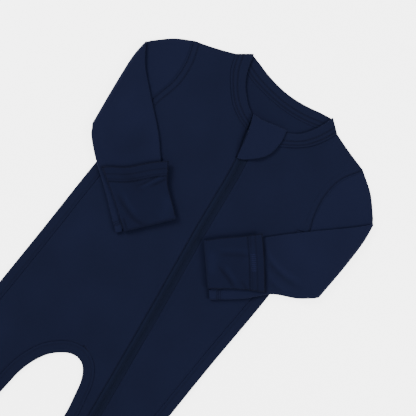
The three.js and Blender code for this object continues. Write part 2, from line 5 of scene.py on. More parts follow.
import bpy
import numpy as np
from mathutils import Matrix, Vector


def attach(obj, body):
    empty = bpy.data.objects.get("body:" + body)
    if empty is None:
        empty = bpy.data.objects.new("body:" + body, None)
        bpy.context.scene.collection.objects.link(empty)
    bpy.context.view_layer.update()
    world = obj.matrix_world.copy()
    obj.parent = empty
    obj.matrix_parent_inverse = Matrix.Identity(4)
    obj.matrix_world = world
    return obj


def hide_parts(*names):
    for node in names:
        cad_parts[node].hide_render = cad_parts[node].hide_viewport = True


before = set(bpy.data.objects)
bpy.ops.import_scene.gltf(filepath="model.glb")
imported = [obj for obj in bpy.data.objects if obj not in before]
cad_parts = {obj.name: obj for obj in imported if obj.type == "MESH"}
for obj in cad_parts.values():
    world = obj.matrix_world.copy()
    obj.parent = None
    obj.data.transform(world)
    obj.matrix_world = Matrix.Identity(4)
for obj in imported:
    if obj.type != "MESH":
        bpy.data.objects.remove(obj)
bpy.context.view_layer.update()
print("frame loaded")

lay = {
    "shift": (-1.0, 140.7, 0.0),  # from the drawing to the frame
    "cloth": 1.2,
    "doubled": 1.6,
    "gap": 0.3,
    "tape": 1.0,
    "fineRows": 9,  # rows here for each row of the solids
    "roundEdge": 0.45,  # how far a cut or folded edge is rounded
}
cloth, doubled, gap = lay["cloth"], lay["doubled"], lay["gap"]
layer = cloth + gap
heights = {"back": cloth / 2, "front": cloth / 2 + layer, "arm": cloth / 2 + layer / 2}
heights["neckBack"] = doubled / 2
heights["elbow"] = 2 * layer - gap / 2
heights["foreArm"] = 2 * heights["elbow"] - heights["arm"]
heights["flap"] = heights["foreArm"] + layer / 2 + layer
heights["neckFront"] = heights["neckBack"] + doubled + gap

# Outline of each cut piece, in plan
cuts = {
    "right": {
        "leg": [(-113, -399), (-111, -340), (-110, -290)],
        "arch": [(-110, -290), (-109.2, -250), (-109, -218)],
        "flank": [(-109, -218), (-109, -150), (-109.6, -75), (-108.8, -30), (-107.2, -8), (-104.6, 7)],
        "inLeg": [(-45, -399), (-41.5, -345), (-38.4, -292)],
        "inArch": [(-38.4, -292), (-37.2, -276), (-33.2, -260), (-25.9, -245), (-16.3, -235), (-9, -230.3),
                   (-2, -228.5)],
        "armhole": [(-104.6, 7.4), (-104.6, 20), (-99.8, 46), (-101.5, 68), (-109.5, 90.4)],
        "shoulder": [(-109.5, 90.4), (-92.5, 96.4), (-80, 101.5), (-68.6, 106.6)],
        "neckOuter": [(-68.6, 106.6), (-62.4, 91), (-53.3, 79), (-38.8, 65), (-24, 57.6), (-11.8, 54.8)],
        "neckInner": [(-54.7, 117.8), (-49.4, 102), (-43, 90), (-32.4, 79), (-23.5, 72.6), (-17, 69.5)],
        "armTop": [(-109.5, 90.4), (-126.5, 79.6), (-146.5, 60)],
        "armUnder": [(-104.6, 7.4), (-113.5, 0), (-122, -14), (-136.4, -38.5)],
        "elbow": [(-146.5, 60), (-147.4, 42), (-143.8, 10), (-136.4, -38.5)],
        "foreTop": [(-146.5, 60), (-131, 40), (-104.3, 17.2), (-78, -4.5), (-58, -24.5), (-13, -61.5)],
        "foreUnder": [(-136.4, -38.5), (-131, -46), (-115.3, -60.2), (-84, -82), (-48, -109)],
        "flapFree": [(-53.3, -19), (-66, -31.5), (-75.5, -43), (-83, -51), (-94.5, -59.5), (-101, -65.3)],
        "flapTop": [(-11.3, -58.8), (-20, -52.1), (-39.6, -37.3), (-45.4, -29.6), (-53.3, -19)],
        "flapUnder": [(-44.3, -101.6), (-70, -84), (-101, -65.3)],
    },
    "left": {
        "leg": [(101, -399), (103.4, -340), (105.4, -290)],
        "arch": [(105.4, -290), (106.8, -250), (107.4, -218)],
        "flank": [(107.4, -218), (107.5, -150), (108.8, -75), (108, -30), (106, -5), (101, 12)],
        "inLeg": [(33, -399), (30, -345), (26, -292)],
        "inArch": [(26, -292), (24.2, -276), (20.4, -260), (16.4, -245), (10.7, -235), (5, -230.3),
                   (-2, -228.5)],
        "armhole": [(101, 12.4), (93.6, 30.5), (89.3, 53), (91.6, 74), (102.9, 96)],
        "shoulder": [(102.9, 96), (86, 100.2), (71.5, 104.2), (60.5, 107.6)],
        "neckOuter": [(60.5, 107.6), (55.3, 95), (47.1, 81.2), (37.9, 71.9), (25.7, 63.2), (12, 56.4),
                      (-1.3, 53.6)],
        "neckInner": [(46.5, 118), (43, 105.5), (38.3, 95), (31, 84.5), (18.5, 76.3), (5.5, 71.2),
                      (-6.4, 69.4)],
        "armTop": [(102.9, 96), (124, 82.2), (145.3, 60.6)],
        "armUnder": [(101, 12.4), (113, 0), (126, -14), (148.6, -31.5)],
        "elbow": [(145.3, 60.6), (148.4, 42), (149.5, 10), (148.6, -31.5)],
        "foreTop": [(145.3, 60.6), (129.2, 43.3), (102.2, 17), (84.6, -0.8), (66, -20.5), (24.3, -59.5)],
        "foreUnder": [(148.6, -31.5), (132.3, -45), (109.6, -58), (90, -79.5), (63.8, -102)],
        "flapFree": [(64.2, -16.4), (84, -37.5), (103, -60)],
        "flapTop": [(23.6, -58.2), (35, -46), (51, -30.5), (64.2, -16.4)],
        "flapUnder": [(57.2, -93), (78, -76.5), (103, -60)],
    },
    "neckTop": [(-54.7, 117.8), (-37, 112), (-20, 108.8), (-3, 107.8), (14, 109.4), (30, 113), (46.5, 118)],
    "neckSeam": [(-68.6, 106.6), (-45, 97.4), (-22, 93.6), (-3, 92.6), (16, 93.8), (38, 98.8), (60.5, 107.6)],
    "zip": [(-12, 70.5), (-5.2, 50), (2.6, 26.6), (16.3, -60), (29.1, -136), (49, -264), (58, -330),
            (64.5, -399)],
}
signOf = {"right": -1, "left": 1}
sides = ("right", "left")


def evenly(steps):
    return np.linspace(0, 1, steps + 1)


def bell(x, width):
    return np.exp(-((x / width) ** 2))


def unit(step):
    return step / np.linalg.norm(step)


def placesOf(plan):
    return plan[..., 0], plan[..., 1]


# Lines in plan
def stepsOf(line):
    return np.linalg.norm(np.diff(line, axis=0), axis=1)


def runOf(line):
    # how far along a line each of its points lies
    return np.concatenate([[0], np.cumsum(stepsOf(line))])


def curveThrough(points, samples=40):
    # a centripetal curve, sampled finely
    p = np.array(points, float)
    p = np.vstack([2 * p[0] - p[1], p, 2 * p[-1] - p[-2]])
    t = np.linspace(0, 1, samples, endpoint=False)[:, None]
    runs = []
    for a, b, c, d in zip(p, p[1:], p[2:], p[3:]):
        da, db, dc = (math.sqrt(np.linalg.norm(step)) for step in (b - a, c - b, d - c))
        start = ((b - a) / da - (c - a) / (da + db) + (c - b) / db) * db
        end = ((c - b) / db - (d - b) / (db + dc) + (d - c) / dc) * db
        square, cube = 3 * (c - b) - 2 * start - end, 2 * (b - c) + start + end
        runs.append(b + start * t + square * t**2 + cube * t**3)
    return np.vstack([*runs, p[-2:-1]])


def spaced(line, shares):
    run = runOf(line) / stepsOf(line).sum()
    return np.column_stack([np.interp(shares, run, column) for column in line.T])


def along(points, steps):
    return spaced(curveThrough(points), evenly(steps))


def leftOf(line):
    step = np.vstack([line[1:2] - line[:1], line[2:] - line[:-2], line[-1:] - line[-2:-1]])
    side = np.column_stack([-step[:, 1], step[:, 0]])
    return side / np.linalg.norm(side, axis=1)[:, None]


def joined(*lines):
    return np.vstack([lines[0], *(line[1:] for line in lines[1:])])


def smooth(x, low, high):
    t = np.clip((x - low) / (high - low), 0, 1)
    return t * t * (3 - 2 * t)


def nearest(x, y, line):
    # distance to a line of points, and the share of the way along it
    best = np.full(np.shape(x), 1e9)
    share = np.zeros(np.shape(x))
    last = len(line) - 1
    for k in range(last):
        (ax, ay), (bx, by) = line[k], line[k + 1]
        dx, dy = bx - ax, by - ay
        t = np.clip(((x - ax) * dx + (y - ay) * dy) / (dx * dx + dy * dy + 1e-12), 0, 1)
        distance = np.hypot(x - ax - t * dx, y - ay - t * dy)
        closer = distance < best
        best = np.where(closer, distance, best)
        share = np.where(closer, (k + t) / last, share)
    return best, share


def nearestOf(x, y, lines):
    return np.min([nearest(x, y, line)[0] for line in lines], axis=0)


# A four-sided patch filled in between its edges, each row at the share v of the climb
def patch(first, last, near, far, v=None):
    u = evenly(len(first) - 1)[None, :, None]
    v = (evenly(len(near) - 1) if v is None else v)[:, None, None]
    corners = (first[0] * (1 - u) + first[-1] * u) * (1 - v) + (last[0] * (1 - u) + last[-1] * u) * v
    return near[:, None] * (1 - u) + far[:, None] * u + first[None] * (1 - v) + last[None] * v - corners


def placed(name, data):
    made = bpy.data.objects.new(name, data)
    bpy.context.scene.collection.objects.link(made)
    return made


class Cloth:
    # A piece of cloth: middle points with normals, the grain in millimetres, and distances to its seams
    def __init__(self):
        self.points, self.normals, self.grain, self.seams, self.paintedLights, self.quads = [], [], [], [], [], []
        self.count = 0

    def add(self, points, normal, grain=None, seams=None, hollow=None):
        points = np.asarray(points, float)
        shape = points.shape[:-1]
        self.points.append(points.reshape(-1, 3))
        self.normals.append(np.broadcast_to(normal, points.shape).reshape(-1, 3))
        self.grain.append(points[..., :2].reshape(-1, 2) if grain is None else grain.reshape(-1, 2))
        self.seams.append(np.full((points.size // 3, 3), 99.0) if seams is None else seams.reshape(-1, 3))
        self.paintedLights.append(np.zeros(points.size // 3) if hollow is None else np.ravel(hollow))
        numbers = np.arange(self.count, self.count + points.size // 3).reshape(shape)
        self.count += points.size // 3
        return numbers

    def gathered(self):
        self.points, self.normals = [np.vstack(self.points)], [np.vstack(self.normals)]
        self.grain, self.seams = [np.vstack(self.grain)], [np.vstack(self.seams)]
        self.paintedLights = [np.concatenate(self.paintedLights)]

    def strips(self, numbers):
        self.gathered()
        n = np.asarray(numbers)
        quads = np.stack([n[:-1, :-1], n[:-1, 1:], n[1:, 1:], n[1:, :-1]], axis=-1).reshape(-1, 4)
        a, b, c, d = (self.points[0][quads[:, k]] for k in range(4))
        facing = (np.cross(c - a, d - b) * self.normals[0][quads[:, 0]]).sum()
        self.quads.append(quads[:, ::-1] if facing < 0 else quads)

    def piece(self, name, thickness, material, edge=None):
        # gives the cloth its thickness, with a round edge all along its border
        self.gathered()
        edge = min(lay["roundEdge"], thickness / 2) if edge is None else edge
        points, normals, grain, seams = self.points[0], self.normals[0], self.grain[0], self.seams[0]
        quads = np.vstack(self.quads)
        count = len(points)
        a, b = quads.ravel(), np.roll(quads, -1, axis=1).ravel()
        bare = ~np.isin(a * count + b, b * count + a)
        a, b = a[bare], b[bare]
        out = np.zeros_like(points)
        sideways = np.cross(points[b] - points[a], normals[a])
        sideways /= np.maximum(np.linalg.norm(sideways, axis=1), 1e-9)[:, None]
        np.add.at(out, a, sideways)
        np.add.at(out, b, sideways)
        out /= np.maximum(np.linalg.norm(out, axis=1), 1e-9)[:, None]
        half = thickness / 2
        rims = [points + normals * half - out * edge, points - normals * half - out * edge]
        faces = [quads, quads[:, ::-1] + count]
        rim = np.unique(a)
        place = np.zeros(count, int)
        place[rim] = np.arange(len(rim))
        rows, total = [a], 2 * count
        for angle in (45, 90, 135):
            sine, cosine = math.sin(math.radians(angle)), math.cos(math.radians(angle))
            rims.append(points[rim] + normals[rim] * half * cosine - out[rim] * edge * (1 - sine))
            rows.append(place[a] + total)
            total += len(rim)
        rows.append(a + count)
        ends = [b, *(place[b] + start for start in range(2 * count, total, len(rim))), b + count]
        for k in range(len(rows) - 1):
            faces.append(np.stack([rows[k + 1], ends[k + 1], ends[k], rows[k]], axis=1))
        vertices = (np.vstack(rims) + lay["shift"]) / 1000
        copies = [np.arange(count), np.arange(count), rim, rim, rim]
        source = np.concatenate(copies)
        faces = np.vstack(faces)
        mesh = bpy.data.meshes.new(name)
        mesh.from_pydata(vertices.tolist(), [], faces.tolist())
        corners = np.empty(len(mesh.loops), int)
        mesh.loops.foreach_get("vertex_index", corners)
        grainMap = mesh.uv_layers.new(name="grain")
        grainMap.data.foreach_set("uv", grain[source][corners].ravel() / 100)
        seamFact = mesh.attributes.new("seams", "FLOAT_VECTOR", "POINT")
        seamFact.data.foreach_set("vector", seams[source].ravel())
        mesh.attributes.new("hollow", "FLOAT", "POINT").data.foreach_set("value", self.paintedLights[0][source])
        mesh.polygons.foreach_set("use_smooth", [True] * len(mesh.polygons))
        mesh.validate()
        mesh.materials.append(material)
        print(name, len(mesh.polygons) * 2, "triangles")
        return placed(name, mesh)


up = np.array([0.0, 0.0, 1.0])
down = -up


# Materials
def linear(code, gain=1.0):
    # sRGB hex to linear colour
    values = [int(code[k:k + 2], 16) / 255 for k in (1, 3, 5)]
    return [gain * (v / 12.92 if v <= 0.04045 else ((v + 0.055) / 1.055) ** 2.4) for v in values] + [1.0]


def addNode(tree, kind, links=None, **settings):
    # one node with its settings; an input is set by its number or name, a link is given as (node, output)
    node = tree.nodes.new(kind)
    for name, value in settings.items():
        setattr(node, name, value)
    for name, value in (links or {}).items():
        if isinstance(value, tuple) and len(value) == 2 and hasattr(value[0], "outputs"):
            tree.links.new(value[0].outputs[value[1]], node.inputs[name])
        else:
            node.inputs[name].default_value = value
    return node


def maths(tree, operation, *values):
    return addNode(tree, "ShaderNodeMath", {k: v for k, v in enumerate(values)}, operation=operation), 0


finish = {
    "navy": "#0f1328",
    # the sleeves' navy is painted a little paler, as painted light
    "sleeve": "#10142a",  # the sleeves catch a little more light
    "inside": "#0d1126",  # the side of the cloth that the cuffs show
    "bloom": 1.2,  # how much paler the cloth is where its fuzz stands up
    "waleSpacing": 0.75,  # mm between the knit's wales
    "courseSpacing": 0.6,
    "knitDepth": 0.05,
    "fuzzDepth": 0.05,
    "crestShade": 1.25,
    "creaseShade": 0.5,
    "needleWidth": 0.75,
}


def newMaterial(name, roughness, specular):
    material = bpy.data.materials.new(name)
    material.use_nodes = True
    shader = material.node_tree.nodes["Principled BSDF"]
    shader.inputs["Roughness"].default_value = roughness
    shader.inputs["Specular IOR Level"].default_value = specular
    return material, material.node_tree, shader


def blended(tree, share, low, high, **settings):
    # a mix of two colours
    return addNode(tree, "ShaderNodeMix", {0: share, 6: low, 7: high}, data_type="RGBA", **settings), 2


def noise(tree, scale, **inputs):
    place = addNode(tree, "ShaderNodeTexCoord")
    return addNode(tree, "ShaderNodeTexNoise", {0: (place, 3), "Scale": scale, **inputs}), 0


def ranged(tree, value, fromLow, fromHigh, toLow, toHigh):
    return addNode(tree, "ShaderNodeMapRange", {0: value, 1: fromLow, 2: fromHigh, 3: toLow, 4: toHigh}), 0


# Brushed bamboo and cotton jersey: a matt, even knit, fine wales along the grain, painted shade in its
# creases and a painted highlight on their crests.
# lines are rows of needlework sunk in it, each also painted darker as shade in its groove: which of the
# piece's three seam distances, how far off, how deep.
def jersey(name, lines=(), colour=finish["navy"], knitScale=1.0):
    material, tree, shader = newMaterial(name, 0.95, 0.08)

    def times(a, b):
        return maths(tree, "MULTIPLY", a, b)

    def size(value):
        return maths(tree, "ABSOLUTE", value)

    # the map counts in units of 100 mm
    grain = addNode(tree, "ShaderNodeUVMap", uv_map="grain")
    parts = addNode(tree, "ShaderNodeSeparateXYZ", {0: (grain, 0)})
    acrossTurns = times((parts, 0), 200 * math.pi / (finish["waleSpacing"] * knitScale))
    alongTurns = times((parts, 1), 200 * math.pi / (finish["courseSpacing"] * knitScale))
    wale = maths(tree, "SINE", acrossTurns)
    course = maths(tree, "SINE", maths(tree, "ADD", alongTurns, times(size(wale), 1.6)))
    knit = maths(tree, "ADD", times(size(wale), 0.7), times(course, 0.3))
    fuzz = noise(tree, 900.0, Detail=3.0, Roughness=0.7)
    drift = noise(tree, 14.0, Detail=2.0)
    relief = maths(tree, "ADD", times(knit, finish["knitDepth"]), times(fuzz, finish["fuzzDepth"]))
    grooveShade = 0.0
    if lines:
        fact = addNode(tree, "ShaderNodeAttribute", attribute_name="seams")
        distances = addNode(tree, "ShaderNodeSeparateXYZ", {0: (fact, 1)})
        for channel, offset, depth in lines:
            away = maths(tree, "SUBTRACT", (distances, channel), offset)
            away = size(maths(tree, "DIVIDE", away, finish["needleWidth"]))
            groove = maths(tree, "EXPONENT", times(maths(tree, "POWER", away, 2.0), -1.0))
            relief = maths(tree, "SUBTRACT", relief, times(groove, depth))
            grooveShade = maths(tree, "ADD", grooveShade, times(groove, depth))
    bump = addNode(tree, "ShaderNodeBump", {"Height": relief, "Distance": 0.001, "Strength": 1.0})
    mottle = ranged(tree, drift, 0.3, 0.7, 0.25, 0.75)
    tint = blended(tree, mottle, linear(colour), linear(colour, finish["bloom"]))
    knitShade = ranged(tree, knit, 0.0, 0.8, 0.82, 1.06)
    shaded = blended(tree, 1.0, tint, knitShade, blend_type="MULTIPLY")
    # painted shade darkens the colour down in a crease, and a painted highlight pales it along the crest
    hollow = addNode(tree, "ShaderNodeAttribute", attribute_name="hollow")
    creaseShade = ranged(tree, (hollow, 2), -1.0, 1.0, finish["crestShade"], finish["creaseShade"])
    # painted shade along each groove of needlework
    creaseShade = times(creaseShade, maths(tree, "SUBTRACT", 1.0, times(grooveShade, 0.8)))
    shaded = blended(tree, 1.0, shaded, creaseShade, blend_type="MULTIPLY")
    tree.links.new(shaded[0].outputs[2], shader.inputs["Base Color"])
    tree.links.new(bump.outputs[0], shader.inputs["Normal"])
    shader.inputs["Sheen Weight"].default_value = 0.04
    shader.inputs["Sheen Roughness"].default_value = 0.5
    shader.inputs["Sheen Tint"].default_value = linear("#6f83b8")
    return material


# Heights of the front: it swells a little off the back between its folds
fine = lay["fineRows"]
fold = cloth / 2 + layer / 2
seamPlan = {
    "sideFlange": 12,  # how far the back turns on to the front
    "shoulderFlange": 4,
    "zipWidth": 10.6,
    "zipEnd": -382,
    "zipWelt": 0.35,
    "seamDip": 0.35,
    "armholeBands": (0.42, 0.2),  # raised by the seam inside, wearer's right and left
    "swell": 1.0,
    "armSwell": 0.45,
    "cuffTuck": 0.8,
    "wristInset": 0.2,
    "sleeveSeam": -0.15,
    "chestLevel": -3,
    "reach": 4,  # how near the hem the rows bend to the upper edge's line
    "seamGap": 0.05,
}
legShares = np.interp(np.linspace(0, 5, 5 * fine + 1), range(6), [0, 0.14, 0.18, 0.45, 0.72, 1])
foldLines = [along(cuts[side][name], 24) for side in sides
             for name in ("leg", "arch", "flank", "inLeg", "inArch", "armhole")]

armholeLines = [along(cuts[name]["armhole"], 20) for name in sides]


def lift(x, y):
    distance = nearestOf(x, y, foldLines)
    return seamPlan["swell"] * (1 - smooth(y, 15, 60)) * smooth(distance, 13, 60)


def inside(x, y, outline):
    # whether places lie in a closed outline
    found = np.zeros(np.shape(x), bool)
    for (ax, ay), (bx, by) in zip(outline, np.roll(outline, -1, axis=0)):
        between = (ay > y) != (by > y)
        found ^= between & (x < (bx - ax) * (y - ay) / (by - ay + 1e-12) + ax)
    return found


def outsideOf(x, y, outline):
    # distance to an outline, nothing inside it
    distance, _ = nearest(x, y, np.vstack([outline, outline[:1]]))
    return np.where(inside(x, y, outline), 0, distance)


chinTab = {
    "zipEdge": [(-2.6, 25.2), (-10.3, 52.1), (-17.4, 70)],
    "top": [(-17.4, 70), (-4.7, 71.6), (7.4, 75.6), (18.7, 78.2)],
    "freeEdge": [(0.6, 26.8), (6.8, 31.6), (14.4, 39), (20.6, 49), (22, 60), (21.4, 69.5), (18.7, 78.2)],
}


def outlineOf(*edges):
    # a closed outline of edges with their steps, which are negative where an edge runs backwards
    return np.vstack([along(points, abs(steps))[::1 if steps > 0 else -1] for points, steps in edges])


def flapOutline(name):
    cut = cuts[name]
    return outlineOf((cut["flapTop"], 10), (cut["flapFree"], 8), (cut["flapUnder"], -10))


coverOutlines = [outlineOf((chinTab["zipEdge"], 8), (chinTab["top"], 8), (chinTab["freeEdge"], -12))]
for name in sides:
    cut = cuts[name]
    coverOutlines += [outlineOf((cut["foreTop"], 20), (cut["foreUnder"], -20)), flapOutline(name)]


def uncovered(x, y):
    # 0 under a sleeve, a cuff or the tab, 1 well clear of them
    distance = np.min([outsideOf(x, y, outline) for outline in coverOutlines], axis=0)
    return smooth(distance, 1.5, 12)


def creased(x, y, creases):
    # the sum of soft ridges and troughs, each a line with its half width and height
    total = np.zeros(np.shape(x))
    for points, width, height in creases:
        distance, share = nearest(x, y, along(points, 14))
        total += height * bell(distance, width) * smooth(share, -0.02, 0.3) * (1 - smooth(share, 0.7, 1.02))
    return total


def paintedLightOf(relief, full=0.8):
    # how much painted light: 1 for painted shade down in a crease, -1 for a painted highlight on its crest
    return np.clip(-relief / full, -1, 1)


def rolling(x, y, size=0.12):
    # slow waves in cloth that lies loose
    waves = [(0.071, 0.043, 0.4), (-0.052, 0.083, 1.9), (0.118, -0.036, 3.1), (0.03, 0.131, 5.2),
             (0.152, 0.097, 0.9)]
    return size * sum(np.sin(a * x + b * y + c) for a, b, c in waves) / 2


frontCreases = [
    ([(-72, -96), (-78, -130), (-88, -170)], 12, 0.35),  # down from the wearer's right cuff
    ([(-34, -150), (-28, -190), (-14, -214)], 12, 0.3),  # towards the crotch
    ([(30, -196), (18, -210), (6, -222)], 9, -0.25),
    ([(-60, 30), (-44, 18), (-30, 2)], 14, 0.3),  # across the chest
    ([(62, 48), (48, 30), (34, 16)], 14, 0.3),
    ([(84, -110), (78, -150), (80, -190)], 12, 0.3),
    ([(-70, -230), (-74, -270), (-72, -320)], 13, 0.4),
    ([(76, -250), (80, -290), (78, -330)], 12, 0.35),
]


def frontHeight(x, y):
    calm = smooth(nearestOf(x, y, foldLines), 6, 22)
    fromSeams = [nearest(x, y, line)[0] for line in armholeLines]
    seamBand = sum(size * smooth(d, 0.0, 1.2) * (1 - smooth(d, 5.2, 7.2))
                   for size, d in zip(seamPlan["armholeBands"], fromSeams))
    relief = (creased(x, y, frontCreases) + rolling(x, y) * calm) * uncovered(x, y)
    return heights["front"] + lift(x, y) + relief + seamBand * uncovered(x, y), relief


# Rows up the panels
def stretchRows(cut, names):
    return joined(spaced(curveThrough(cut[names[0]]), legShares),
                  *(along(cut[name], (8 if name == "flank" else 7) * fine) for name in names[1:]))


legRows = 12 * fine
sideLine = {name: stretchRows(cuts[name], ("leg", "arch", "flank")) for name in sides}
sideOut = {name: -signOf[name] * leftOf(sideLine[name]) for name in sides}
inLegs = [stretchRows(cuts[name], ("inLeg", "inArch")) for name in sides]
archLine = joined(inLegs[0], inLegs[1][::-1])
archOut = -leftOf(archLine)
innerLine = {"right": archLine[:legRows + 1], "left": archLine[legRows:][::-1]}
innerOut = {"right": archOut[:legRows + 1], "left": archOut[legRows:][::-1]}


def crowded(total, count, towards="both", keep=None):
    # column places from 0 to total, closer together towards the edges that carry seams
    t = evenly(count)
    bend = {"both": np.sin(2 * np.pi * t) / (2 * np.pi), "start": np.sin(np.pi * t) / np.pi,
            "end": -np.sin(np.pi * t) / np.pi}[towards]
    places = total * (t - 0.6 * bend)
    if keep is not None:
        places[np.argmin(np.abs(places - keep))] = keep
    return places


def shoulderAndNeck(shoulder, neck, places):
    # points along the shoulder for places 0 to 3, then along the neck for 3 to 3 + its steps
    steps = places.max() - 3
    atShoulder = spaced(shoulder, places[places <= 3] / 3)
    atNeck = spaced(neck, (places[places > 3] - 3) / steps)
    return np.vstack([atShoulder, atNeck])


def trimmed(points, steps, less, lessStart=0.0):
    # points along a curve that stops short of its ends
    line = curveThrough(points)
    total = stepsOf(line).sum()
    return spaced(line, np.linspace(lessStart / total, 1 - less / total, steps + 1))


def shoulderEdge(name, inset, neck):
    # the shoulder moved in, from the armhole's line to the neck's
    line = along(cuts[name]["shoulder"], 24)
    edge = line - inset * -signOf[name] * leftOf(line)
    corner = trimmed(cuts[name]["armhole"], 12, inset)[-1]
    fade = np.maximum(0, 1 - np.linspace(0, 4, len(edge)))[:, None]
    edge = edge + (corner - edge[0]) * fade
    return edge + (neck[0] - edge[-1]) * fade[::-1]


def middleLine(start, end, upperRows):
    share = (seamPlan["chestLevel"] - start[1]) / (end[1] - start[1])
    chest = start + (end - start) * share
    return joined(np.linspace(start, chest, 8 * fine + 1), np.linspace(chest, end, upperRows + 1))


def withHeight(plan, z):
    return np.concatenate([plan, np.broadcast_to(np.asarray(z)[..., None], plan.shape[:-1] + (1,))], axis=-1)


def turnOver(piece, numbers, out, rise, flange, sharedEnd=None, groove=0.35, flatSteps=8):
    # rolls a border over by a half turn and lays a flange beside it
    piece.gathered()
    base, plan = piece.points[0][numbers], piece.grain[0][numbers]
    out3 = withHeight(out, 0)
    facing = math.copysign(1, rise)
    flat = flange - fold
    rows = [numbers]

    def addRow(points, normal, past, distance):
        rows.append(piece.add(points, normal, plan + out * past, seamFacts((len(base),), a=distance)))

    for angle in np.linspace(0, math.pi, 7)[1:]:
        normal = out3 * math.sin(angle) - up * math.cos(angle) * facing
        points = base + out3 * abs(rise) / 2 * math.sin(angle) + up * rise / 2 * (1 - math.cos(angle))
        addRow(points, normal, abs(rise) / 2 * angle, flat + 2)
    turned = abs(rise) / 2 * math.pi
    for share in evenly(flatSteps)[1:] ** 0.7:
        left = flat * (1 - share)
        dip = facing * groove * bell(left, 1.2)
        addRow(base - out3 * flat * share + up * (rise - dip), up * facing, turned + flat * share, left)
    if sharedEnd is not None:
        for row, number in zip(rows[1:], sharedEnd):
            row[-1] = number
    piece.strips(rows)
    return [row[-1] for row in rows[1:]]


def seamFacts(shape, **channels):
    found = np.full(shape + (3,), 99.0)
    for name, distance in channels.items():
        found[..., "abc".index(name)] = distance
    return found


# soft troughs on the underside, only where the front above is lifted clear of them
backCreases = [
    ([(-80, -60), (-60, -84), (-36, -98)], 11, 0.5),
    ([(78, -50), (60, -78), (30, -96)], 10, 0.45),
    ([(-30, -160), (-22, -192), (-6, -214)], 9, 0.55),
    ([(34, -150), (22, -186), (8, -210)], 9, 0.5),
    ([(-66, -110), (-70, -150), (-64, -188)], 12, 0.35),
    ([(62, -120), (70, -164), (68, -204)], 12, 0.4),
    ([(-76, -250), (-72, -300), (-78, -350)], 11, 0.4),
    ([(80, -262), (76, -310), (84, -360)], 11, 0.35),
]


# Back: torso and both legs in one, turned over on to the front all round
def backHalf(piece, name, shared=None):
    cut = cuts[name]
    side = sideLine[name] - sideOut[name] * fold
    inset = seamPlan["shoulderFlange"] + gap
    armhole = trimmed(cut["armhole"], 6 * fine, inset)
    neck = trimmed(cuts["neckSeam"], 48, inset, inset)
    neck = neck[:25] if name == "right" else neck[24:][::-1]
    shoulder = shoulderEdge(name, inset, neck)
    crotchEdge = innerLine[name] - innerOut[name] * fold
    far = joined(crotchEdge, middleLine(crotchEdge[-1], neck[-1], 6 * fine))
    near = joined(side, armhole)
    last = shoulderAndNeck(shoulder, neck, crowded(7, 60, "start", keep=3))
    first = np.linspace(near[0], far[0], len(last))
    v = evenly(len(near) - 1) ** seamPlan["reach"]
    plan = patch(first[::-1], last[::-1], far, near, v)
    x, y = placesOf(plan)
    trough = np.minimum(creased(x, y, backCreases), 0.6) * lift(x, y)
    # the troughs are also painted darker, as painted shade
    numbers = piece.add(withHeight(plan, heights["back"] + trough), down, hollow=trough / 0.8)
    if shared is not None:
        numbers[legRows:, 0] = shared
    turnOver(piece, numbers[:len(side), -1], sideOut[name], layer, seamPlan["sideFlange"])
    piece.strips(numbers)
    return numbers


def makeBack():
    piece = Cloth()
    right = backHalf(piece, "right")
    left = backHalf(piece, "left", right[legRows:, 0])
    apex = turnOver(piece, right[:legRows + 1, 0], innerOut["right"], layer, seamPlan["sideFlange"])
    turnOver(piece, left[:legRows + 1, 0], innerOut["left"], layer, seamPlan["sideFlange"], apex)
    return piece.piece("backAndSides", cloth, jersey("brushed jersey, back", [(0, 3.0, 0.12)]), edge=0.25)


backPiece = makeBack()


# Fronts
zipPoints = along(cuts["zip"], 200)
zipSlope = np.gradient(zipPoints[:, 0], zipPoints[:, 1])


def zipLean(y):
    # how much longer the zip is than its climb
    return np.sqrt(1 + np.interp(-y, -zipPoints[:, 1], zipSlope) ** 2)


def zipMiddle(y):
    return np.interp(-np.asarray(y), -zipPoints[:, 1], zipPoints[:, 0])


def zipEdge(y, side, inset=0.0):
    y = np.asarray(y, float)
    wide = smooth(y, seamPlan["zipEnd"] - 2, seamPlan["zipEnd"] + 1)
    half = gap / 2 + (seamPlan["zipWidth"] - gap) / 2 * wide - inset
    return np.stack([zipMiddle(y) + side * half * zipLean(y), y], axis=-1)


chestRow = legRows + 8 * fine


def levels(edge, top):
    chest = edge[chestRow, 1]
    upper = len(edge) - 1 - chestRow
    return np.concatenate([edge[:chestRow + 1, 1], chest + (top - chest) * np.arange(1, upper + 1) / upper])


def panelSide(name):
    flank = sideLine[name] - sideOut[name] * (seamPlan["sideFlange"] + seamPlan["seamGap"])
    flank[-1, 1] += gap
    armhole = trimmed(cuts[name]["armhole"], 6 * fine, fold)
    return joined(flank, np.linspace(flank[-1], armhole[0], fine + 1), armhole)


def frontFacts(plan):
    x, y = placesOf(plan)
    armhole = nearestOf(x, y, armholeLines)
    zipAway = np.abs(x - zipMiddle(y)) / zipLean(y) - seamPlan["zipWidth"] / 2
    zipAway = np.where(y < seamPlan["zipEnd"], 99, zipAway)
    return seamFacts(plan.shape[:-1], a=armhole, b=zipAway)


def layFront(piece, plan, shared=None):
    x, y = placesOf(plan)
    z, relief = frontHeight(x, y)
    facts = frontFacts(plan)
    # the welt beside the zip, and the dip at the side seams
    fromZip = facts[..., 1]
    welt = smooth(fromZip, 0, 1.2) * (1 - smooth(fromZip, 2.6, 4.4))
    z = z + seamPlan["zipWelt"] * welt * uncovered(x, y)
    z = z - seamPlan["seamDip"] * bell(nearestOf(x, y, borderLines), 1.2)
    # painted shade in the creases, and a painted highlight on their crests
    numbers = piece.add(withHeight(plan, z), up, plan, facts, paintedLightOf(relief, 2.4))
    if shared is not None:
        numbers[legRows:, 0] = shared
    return numbers


borderLines = [np.array(sideLine[name] - sideOut[name] * seamPlan["sideFlange"])[::6] for name in sides]
borderLines += [np.array(innerLine[name] - innerOut[name] * seamPlan["sideFlange"])[::6] for name in sides]
frontJersey = {
    "right": jersey("brushed jersey, front right", [(0, 0.6, 0.25), (0, 5.8, 0.3), (1, 0.5, 0.4)]),
    "left": jersey("brushed jersey, front left", [(0, 0.6, 0.3), (1, 0.0, 0.15)]),
}


